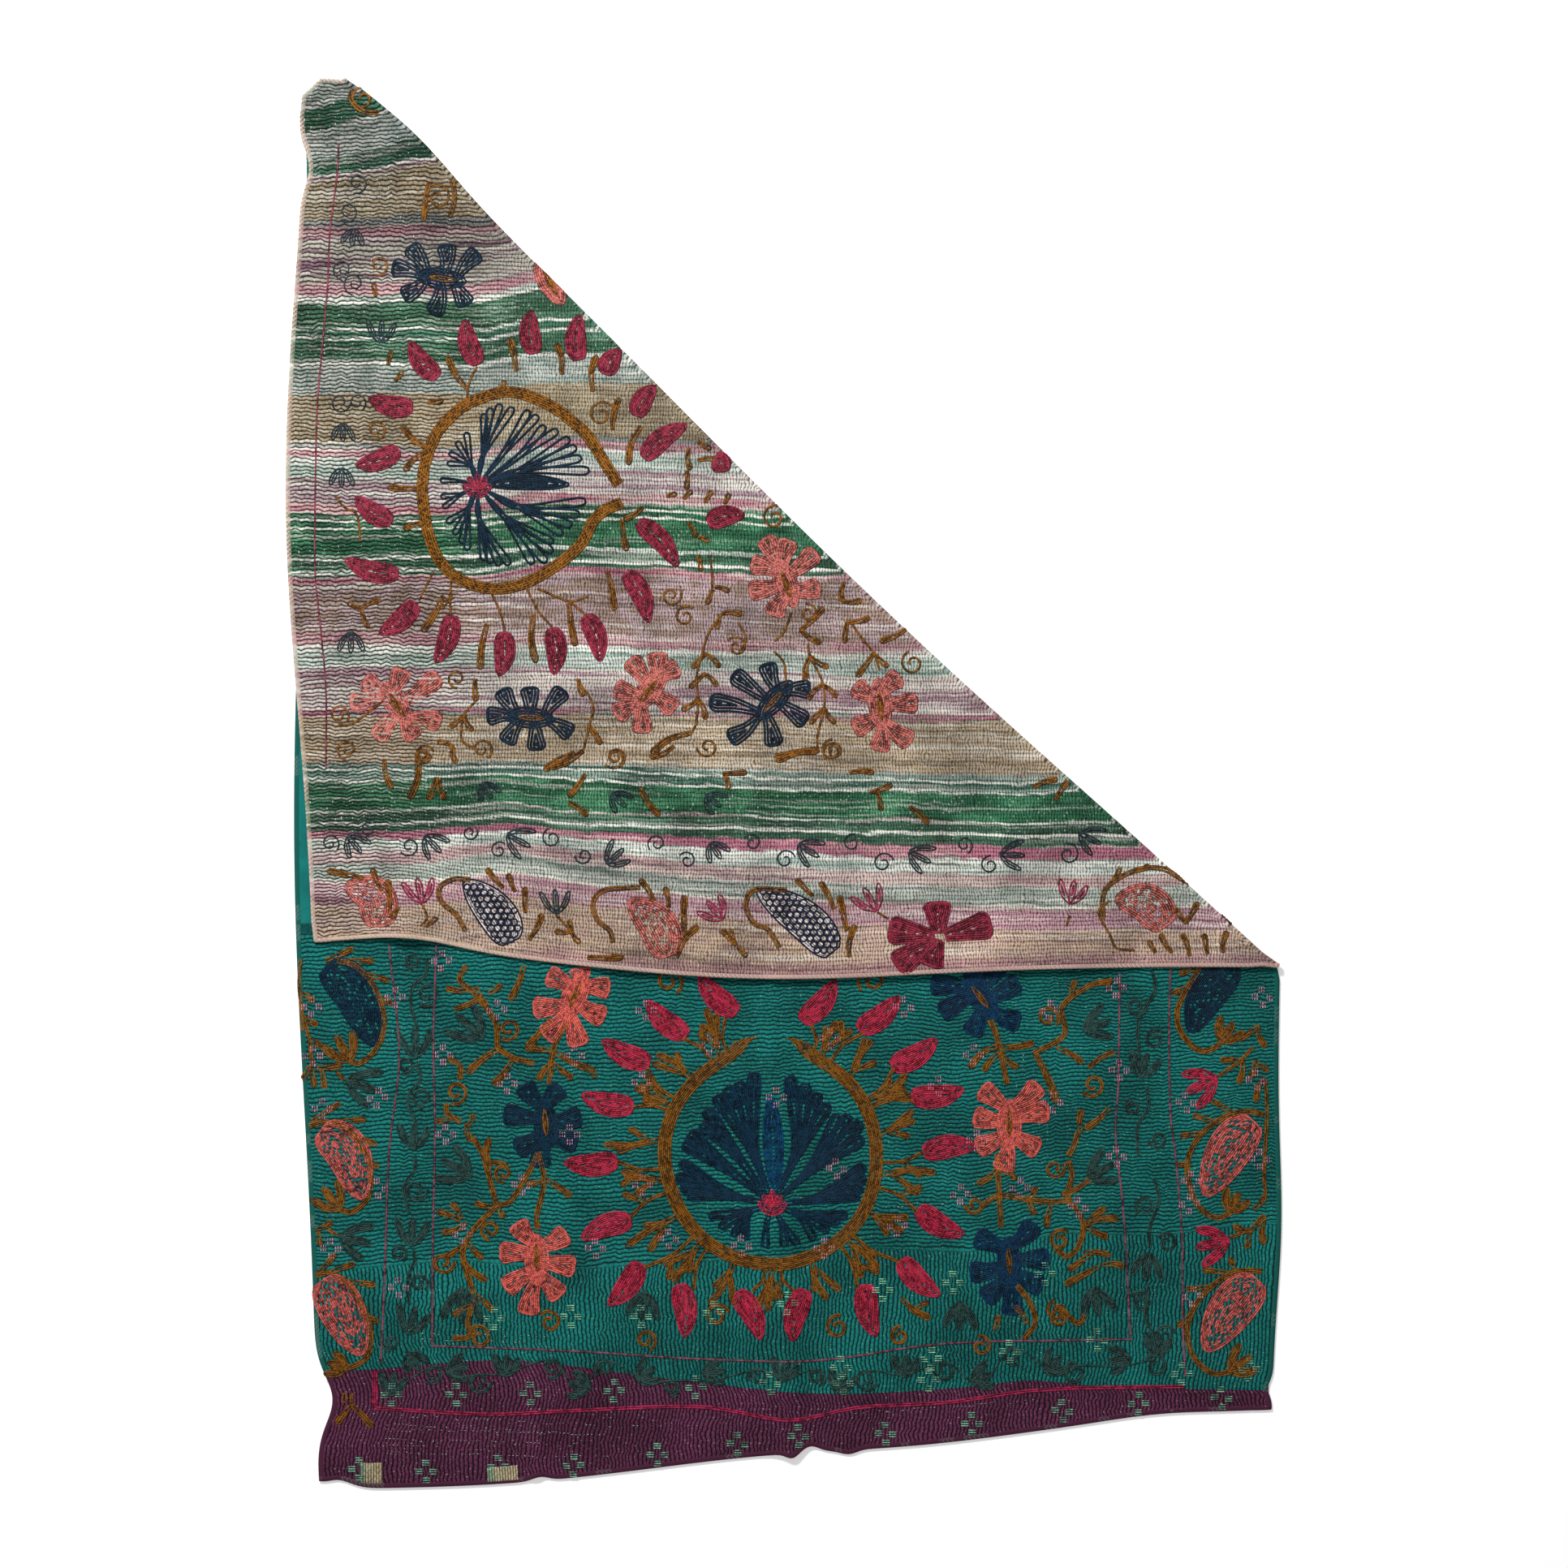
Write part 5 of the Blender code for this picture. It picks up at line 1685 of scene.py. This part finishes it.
BACK_FLOWERS = (
    # colour, x, y in mm, slant of its middle in degrees, then angle and length in mm of each lobe
    ("navy", -505, 746, -7, (135, 69), (84, 52), (37, 66), (167, 77), (-156, 65), (-104, 55), (-48, 53)),
    ("coral", -345, 738, -59, (104, 18), (-27, 20), (-104, 18)),
    ("coral", -572, 114, -56, (141, 63), (81, 54), (36, 76), (176, 71), (-122, 58), (-61, 55), (-22, 69)),
    ("navy", -374, 96, -5, (136, 61), (93, 46), (41, 64), (178, 66), (-135, 53), (-80, 49), (-22, 64)),
    ("coral", -201, 135, -129, (119, 55), (77, 59), (39, 57), (175, 49), (-144, 60), (-98, 62), (-34, 48)),
    ("coral", 4, 293, -70, (150, 61), (114, 77), (86, 66), (48, 66), (-5, 49), (-113, 50), (-171, 56)),
    ("navy", -16, 120, -132, (99, 58), (145, 73), (180, 95), (-140, 86), (-88, 66), (-32, 58), (18, 58)),
    ("coral", 143, 113, -85, (141, 49), (57, 53), (5, 55), (-140, 52), (-92, 66), (-50, 70)),
)
BACK_CELLED = (
    # top, belly, tip of the paisleys filled with cells, in mm
    ((-403, -238), (-424, -196), (-474, -144)), ((74, -253), (34, -206), (-41, -157)),
)
BACK_CORAL_DROPS = (
    # top, belly, tip in mm
    ((-170, -258), (-186, -212), (-230, -173)), ((566, -214), (540, -180), (490, -172)),
    ((-600, -214), (-604, -170), (-650, -152)),
)
BACK_HOOKS = (
    ((-465, -143), (-489, -143), (-509, -155), (-507, -176), (-485, -196), (-471, -220)),
    ((-213, -155), (-265, -159), (-282, -178), (-276, -202), (-257, -220), (-253, -237)),
    ((4, -159), (-44, -159), (-56, -183), (-44, -208), (-23, -218), (-6, -245)),
    ((472, -202), (476, -159), (515, -132), (558, -127), (600, -150)),
    ((-637, 1026), (-641, 1012), (-623, 994), (-597, 991)),
    ((-491, 892), (-487, 866), (-494, 838)), ((-524, 888), (-530, 863), (-533, 831)),
)
BACK_PINK_LINE = (
    (-659, 945), (-662, 895), (-672, 817), (-676, 729), (-684, 640), (-690, 570), (-692, 523), (-694, 417),
    (-694, 312), (-685, 220), (-678, 135), (-678, 20),
)
BACK_ROSETTE = (
    # angle and length in mm of the pink rosette's petals
    (94, 52), (14, 80), (172, 76), (214, 78), (250, 46),
)


def turned_fan_runs():
    """The fans' threads on the back: the same fingers, seen turned a quarter and from the other side."""
    runs = []
    for waist, *tips in FANS:
        for tip in tips:
            steps = [mm(waist[1], -waist[0]) * 0.2, mm(waist[1], -waist[0]) * 0.85, mm(tip[1], -tip[0]) * 0.85]
            half = 0.0046 + 0.026 * np.linalg.norm(steps[2])
            runs += blade([BACK_KNOT + step for step in steps], half, finger_width, row=0.0044)[:1]
    leaf = [BACK_KNOT + mm(14, 2), BACK_KNOT + mm(74, 6), BACK_KNOT + mm(138, 2)]
    return runs + blade(leaf, 0.012, leaf_width)


def back_ring_runs():
    """The ring's threads on the back: five loose rows, with short ones across them."""
    line = smooth_curve(mm(*BACK_RING), 12)
    way, normal = directions(line)
    runs = side_by_side(line, 5, 0.0034)
    for k in range(4, len(line) - 4, 2):
        lean = way[k] * 0.006 * (1 if lattice(k, 1, 81) > 0 else -1)
        runs.append(np.array([line[k] - normal[k] * 0.008 - lean, line[k], line[k] + normal[k] * 0.008 + lean]))
    return runs


def celled_runs(top, belly, tip, half=0.030, cell=0.0050):
    """A paisley outlined and filled with small round cells in staggered rows."""
    spine = along_curve(smooth_curve(mm(top, belly, tip)), np.linspace(0, 1, 49))
    width = half * petal_width(np.linspace(0, 1, 49))
    runs = blade(mm(top, belly, tip), half, petal_width)[:1]
    low, high = spine.min(0) - half, spine.max(0) + half
    turn = np.linspace(0, 2 * math.pi, 11)
    circle = np.column_stack([np.cos(turn), np.sin(turn)])
    for j, y in enumerate(np.arange(low[1], high[1], cell * 1.75)):
        for x in np.arange(low[0] + (j % 2) * cell, high[0], cell * 2.0):
            away = np.linalg.norm(spine - (x, y), axis=1)
            nearest = np.argmin(away)
            if away[nearest] < width[nearest] - cell * 1.1:
                runs.append((x, y) + circle * cell * (0.92 + 0.14 * lattice(int(x * 1e4), j, 82)))
    return runs


def rosette_runs():
    """The pink flower near the hem: five petals worked in rings, and a small ring beside its middle."""
    centre, runs = mm(230, -228), []
    for angle, length in BACK_ROSETTE:
        way = polar(angle, length / 1000)
        runs += blade([centre + way * 0.12, centre + way * 0.6, centre + way], 0.0225, wedge_width, row=0.0034)
    return runs



def whipped_hem():
    """The hem: the plies' own edge, whipped over with thread, in the colours of the cloth beside it."""
    material, tree, shader = new_material("whipped cotton edge", 0.88)
    seen = node(tree, "ShaderNodeAttribute", {"attribute_name": "stripes"}).outputs["Color"]
    tree.links.new(seen, shader.inputs["Base Color"])
    points, faces, colours = hem_mesh()
    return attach(mesh_piece("whipped_hem", points, faces, material, stripes=colours), "root")


class THROW_OT_backing(bpy.types.Operator):
    """Make the striped cotton back, with its quilting, and the whipped hem around the whole cloth"""

    bl_idname = "throw.backing"
    bl_label = "Backing and hem"

    def execute(self, context):
        # 453d38 is painted shade in the ripples' valleys; #ece6da is light stitch thread, also a painted highlight on
        # the ridge tops.
        material = quilted_cotton("woven striped cotton", "#ffffff", "#453d38", "#ece6da", stripes_node, True)
        flat, points, faces, quilt = backing_mesh()
        stripes = stripe_colours(mirrored_place(flat))
        piece = mesh_piece("backing_cloth", points, faces, material, quilt=quilt, stripes=stripes)
        hem = whipped_hem()
        declared(piece, ["backing"])
        return {"FINISHED"}


class THROW_OT_face(bpy.types.Operator):
    """Make the teal face panel and the plum end band, with their quilting"""

    bl_idname = "throw.face"
    bl_label = "Face panel and end band"

    def execute(self, context):
        p = cloth()
        # 3c5654 is painted shade in the ripples' valleys; #7cc7b4 is light stitch thread, also a painted highlight on
        # the ridge tops.
        teal = quilted_cotton("quilted teal cotton", p.teal, "#3c5654", "#7cc7b4")
        _, points, faces, quilt = face_panel_mesh()
        piece = mesh_piece("face_cloth", points, faces, teal, quilt=quilt)
        declared(piece, ["face_panel"])
        # 4d3c45 is painted shade in the ripples' valleys; #c7a7b4 is light stitch thread, also a painted highlight on
        # the ridge tops.
        plum = quilted_cotton("quilted plum cotton", p.plum, "#4d3c45", "#c7a7b4")
        _, points, faces, quilt = end_band_mesh()
        piece = mesh_piece("band_cloth", points, faces, plum, quilt=quilt)
        declared(piece, ["end_band"])
        return {"FINISHED"}


class THROW_OT_mends(bpy.types.Operator):
    """Make the two cream mends on the end band, with the stitches that hold them"""

    bl_idname = "throw.mends"
    bl_label = "Mends"

    def execute(self, context):
        # 6d6350 is painted shade in the ripples' valleys; #efe7d0 is light stitch thread, also a painted highlight on
        # the ridge tops.
        cream = quilted_cotton("worn cream cotton", context.scene.throw_cloth.cream, "#6d6350", "#efe7d0", stripes_node)
        for name, x, y, half_wide, half_high, slant, flat_size in MENDS:
            points, faces, quilt, colours = mend_mesh(np.array((x, y)), half_wide, half_high, slant)
            piece = mesh_piece(name + "_cloth", points, faces, cream, quilt=quilt, stripes=colours)
            declared(piece, [name])
        return {"FINISHED"}


def laid_thread(name, runs, colour, across=CHAIN_ACROSS, width=None, pitch=None, on=on_face, slot="teal_cotton"):
    """One piece of thread work, in one colour."""
    p = bpy.context.scene.throw_thread
    width, pitch = width or p.row * 1.06, pitch or p.loop
    points, faces, shade = thread_mesh(runs, across, width, pitch, on, len(name))
    piece = mesh_piece(name, points, faces, cotton_thread(name.replace("_", " "), colour), shade=shade)
    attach(piece, "root")
    return piece


class THROW_OT_medallion(bpy.types.Operator):
    """Embroider the medallion: its ring, fans, leaf, knot and petals"""

    bl_idname = "throw.medallion"
    bl_label = "Medallion"

    def execute(self, context):
        p = context.scene.throw_thread
        laid_thread("medallion_ring", ring_runs(), p.ochre)
        laid_thread("medallion_petals", petal_runs() + knot_runs(), p.pink)
        laid_thread("medallion_fans", fan_runs(), p.navy)
        laid_thread("medallion_leaf", blade([mm(-13, -607), mm(-16, -530), mm(-20, -462)], 0.0160, leaf_width), p.blue)
        return {"FINISHED"}


class THROW_OT_palmettes(bpy.types.Operator):
    """Embroider the coral and navy palmettes"""

    bl_idname = "throw.palmettes"
    bl_label = "Palmettes"

    def execute(self, context):
        p = context.scene.throw_thread
        laid_thread("palmettes_coral", palmette_runs(PALMETTES, "coral"), p.coral)
        laid_thread("palmettes_navy", palmette_runs(PALMETTES, "navy"), p.navy)
        laid_thread("palmettes_blue", palmette_runs(PALMETTES, "blue"), "#082e4a")
        laid_thread("palmette_bars", palmette_bars(PALMETTES), p.ochre, across=BAR_ACROSS)
        return {"FINISHED"}


class THROW_OT_vines(bpy.types.Operator):
    """Embroider the ochre vines between the palmettes"""

    bl_idname = "throw.vines"
    bl_label = "Vines"

    def execute(self, context):
        stems, leaves = LEFT_STEMS + RIGHT_STEMS, LEFT_LEAVES + RIGHT_LEAVES
        laid_thread("ochre_vines", vine_runs(stems, leaves, TENDRILS), context.scene.throw_thread.ochre)
        return {"FINISHED"}


class THROW_OT_border(bpy.types.Operator):
    """Embroider the border: its lines, slate vine, tulips and paisleys"""

    bl_idname = "throw.border"
    bl_label = "Border"

    def execute(self, context):
        p = context.scene.throw_thread
        vine = vine_runs(VINE_STEMS, (), VINE_TENDRILS, 2) + tulip_runs(VINE_HANDS, 0.0066) + bottom_vine()
        laid_thread("slate_vine", vine + tulip_runs(SLATE_TULIPS, 0.0074), p.slate)
        lines = [run for points in TEAL_LINES for run in side_by_side(smooth_curve(mm(*points)), 1)]
        laid_thread("mauve_lines", lines, p.mauve, width=0.0038)
        lines = [run for points in PLUM_LINES for run in side_by_side(smooth_curve(mm(*points)), 2)]
        lines += [run for run in side_by_side(mm((-606, -872), (-606, -927)), 3)]
        laid_thread("crimson_line", lines, p.crimson, slot="plum_cotton")
        laid_thread("pink_tulips", tulip_runs(PINK_TULIPS, 0.0084), p.pink)
        bodies, hooks, ground = {"navy": [], "coral": []}, [], []
        for colour, top, belly, tip, half, hook, arms, tulip in PAISLEYS:
            filled = 0.30 if colour == "coral" else 0.80
            bodies[colour] += paisley_runs(mm(*top), mm(*belly), mm(*tip), half, filled)
            hooks += hook_runs(hook, arms) + tulip_runs([tulip], 0.0070)
            if colour == "coral":
                ground += blade(mm(top, belly, tip), half * 0.94, petal_width, 16)
        laid_thread("paisley_grounds", ground, "#5a3336", across=FLAT_ACROSS, width=0.0034)
        laid_thread("paisleys_navy", bodies["navy"], p.navy)
        laid_thread("paisleys_coral", bodies["coral"], "#b8564f")
        laid_thread("paisley_hooks", hooks + vine_runs(EDGE_STEMS, EDGE_LEAVES, (), 2), p.ochre)
        return {"FINISHED"}


class THROW_OT_figures(bpy.types.Operator):
    """Weave the small figures and sew the rows of white stitches"""

    bl_idname = "throw.figures"
    bl_label = "Woven figures"

    def execute(self, context):
        pink = figure_runs(PINK_FIGURES, 11.0, 11.0, (3, 2, 3.5, 5.2, True))
        mint = figure_runs(MINT_FIGURES, 10.5, 13.0, (1, 3, 12.0, 3.4, False))
        plum = figure_runs(PLUM_FIGURES, 10.5, 13.0, (1, 3, 12.0, 3.4, False))
        woven = {"across": LINE_ACROSS, "width": 0.0020, "pitch": 0.004}
        laid_thread("figures_pink", pink, "#c48a9e", **woven)
        laid_thread("figures_mint", mint, "#7fc2a0", **woven)
        laid_thread("figures_plum", plum, "#76ad92", slot="plum_cotton", **woven)
        sewn = {"across": LINE_ACROSS, "width": 0.0013, "pitch": 0.005}
        laid_thread("white_stitches", running_stitches(WHITE_STITCHES), "#a9aba4", **sewn)
        return {"FINISHED"}


class THROW_OT_reverse(bpy.types.Operator):
    """Lay the embroidery's threads on the back, where they come through"""

    bl_idname = "throw.reverse"
    bl_label = "Threads on the back"

    def execute(self, context):
        p = context.scene.throw_thread
        loose = {"across": LINE_ACROSS, "width": p.back_width, "pitch": p.back_stitch, "on": on_flap,
                 "slot": "striped_cotton"}
        filled = {**loose, "width": p.back_width * 0.88}
        fine = {**loose, "width": p.back_width * 0.72}
        petals = []
        for x, y, to_x, to_y in BACK_PETALS:
            foot, tip = mm(x, y), mm(to_x, to_y)
            across = np.array((foot[1] - tip[1], tip[0] - foot[0]))
            petals += blade([foot, (foot + tip) / 2 + across * 0.08, tip], 0.0160, petal_width)
        knot = [run - KNOT + BACK_KNOT for run in knot_runs()]
        laid_thread("back_petals", petals + knot + rosette_runs(), "#8b2a3e", **loose)
        laid_thread("back_tulips", tulip_runs(BACK_PINK_TULIPS, 0.0062, 0.0036), "#a02c4c", **fine)
        coral = palmette_runs(BACK_FLOWERS, "coral", 0.0165, 0.0034)
        for drop in BACK_CORAL_DROPS:
            coral += paisley_runs(*mm(*drop), 0.030, 0.25, 0.0036)
        laid_thread("back_coral", coral, "#b5645b", **{**filled, "width": 0.0040, "across": TINT_ACROSS})
        navy = palmette_runs(BACK_FLOWERS, "navy", 0.0160, 0.0046) + turned_fan_runs()
        laid_thread("back_navy", navy, "#0f2638", **loose)
        white, cells = [], []
        for drop in BACK_CELLED:
            white += blade(mm(*drop), 0.028, petal_width, row=0.0034)
            cells += celled_runs(*drop)
        laid_thread("back_cell_ground", white, "#c9c0bc", **{**loose, "across": FLAT_ACROSS})
        laid_thread("back_cells", cells, "#1c2138", **fine)
        ochre = vine_runs(BACK_STEMS, (), BACK_TENDRILS, 1) + vine_runs((), BACK_LEAVES, (), 1, 0.0044)
        ochre += palmette_bars(BACK_FLOWERS) + [run for row in BACK_HOOKS for run in hook_runs(row, (), 2, 0.0042)]
        laid_thread("back_vines", ochre, "#7d4e16", **loose)
        laid_thread("back_ring", back_ring_runs(), "#7f5014", **loose)
        slate = vine_runs((), (), BACK_SLATE_TENDRILS, 1) + tulip_runs(BACK_SLATE_HANDS, 0.0060, 0.0044)
        laid_thread("back_slate", slate, "#2b3a40", **fine)
        laid_thread("back_line", [smooth_curve(mm(*BACK_PINK_LINE))], "#8a3d4e", **fine)
        return {"FINISHED"}


class THROW_OT_stage(bpy.types.Operator):
    """Make the floor, the lights and the camera"""

    bl_idname = "throw.stage"
    bl_label = "Stage"

    def execute(self, context):
        stage = context.scene.throw_stage
        data = bpy.data.cameras.new("camera")
        data.sensor_width = 36.0
        data.lens = data.sensor_width * stage.camera_height / stage.view_width
        camera = bpy.data.objects.new("camera", data)
        camera.location = (0.0003, -0.0021, stage.camera_height)
        context.scene.collection.objects.link(camera)
        context.scene.camera = camera
        lamp = bpy.data.lights.new("key_light", "AREA")
        lamp.shape, lamp.size, lamp.size_y, lamp.energy = "RECTANGLE", 1.2, 0.6, stage.key
        key = bpy.data.objects.new("key_light", lamp)
        key.location = (-1.9, 3.2, 3.3)
        key.rotation_euler = Vector((1.9, -3.3, -3.3)).to_track_quat("-Z", "Y").to_euler()
        context.scene.collection.objects.link(key)
        world = bpy.data.worlds.new("soft light")
        world.use_nodes = True
        world.node_tree.nodes["Background"].inputs["Color"].default_value = (1, 1, 1, 1)
        world.node_tree.nodes["Background"].inputs["Strength"].default_value = stage.fill
        context.scene.world = world
        context.scene.view_settings.view_transform = "Standard"
        paint, _, shader = new_material("matt white floor paint", 0.9)
        shader.inputs["Base Color"].default_value = (0.93, 0.93, 0.93, 1)
        shader.inputs["Emission Color"].default_value = (1, 1, 1, 1)
        shader.inputs["Emission Strength"].default_value = 0.30
        corners = np.array([(-4, -4, -0.001), (4, -4, -0.001), (4, 4, -0.001), (-4, 4, -0.001)])
        mesh_piece("floor", corners, np.array([(0, 1, 2, 3)]), paint)
        return {"FINISHED"}


class THROW_PT_panel(bpy.types.Panel):
    """Lists the throw's sizes and pieces"""

    bl_idname = "THROW_PT_panel"
    bl_label = "Throw"
    bl_space_type = "VIEW_3D"
    bl_region_type = "UI"
    bl_category = "Throw"

    def draw(self, context):
        for group in (context.scene.throw_cloth, context.scene.throw_thread, context.scene.throw_stage):
            for name in group.bl_rna.properties.keys():
                if name not in ("rna_type", "name"):
                    self.layout.prop(group, name)
        for operator in OPERATORS:
            self.layout.operator(operator.bl_idname)


OPERATORS = (
    THROW_OT_stage,
    THROW_OT_backing,
    THROW_OT_face,
    THROW_OT_mends,
    THROW_OT_medallion,
    THROW_OT_palmettes,
    THROW_OT_vines,
    THROW_OT_border,
    THROW_OT_figures,
    THROW_OT_reverse,
)
CLASSES = (ThrowCloth, ThrowThread, ThrowStage, *OPERATORS, THROW_PT_panel)


def register():
    for made in CLASSES:
        bpy.utils.register_class(made)
    bpy.types.Scene.throw_cloth = bpy.props.PointerProperty(type=ThrowCloth)
    bpy.types.Scene.throw_thread = bpy.props.PointerProperty(type=ThrowThread)
    bpy.types.Scene.throw_stage = bpy.props.PointerProperty(type=ThrowStage)


def unregister():
    del bpy.types.Scene.throw_stage
    del bpy.types.Scene.throw_thread
    del bpy.types.Scene.throw_cloth
    for made in reversed(CLASSES):
        bpy.utils.unregister_class(made)


def main():
    register()
    bpy.ops.throw.stage()
    bpy.ops.throw.backing()
    bpy.ops.throw.face()
    bpy.ops.throw.mends()
    bpy.ops.throw.medallion()
    bpy.ops.throw.palmettes()
    bpy.ops.throw.vines()
    bpy.ops.throw.border()
    bpy.ops.throw.figures()
    bpy.ops.throw.reverse()


if __name__ == "__main__":
    main()
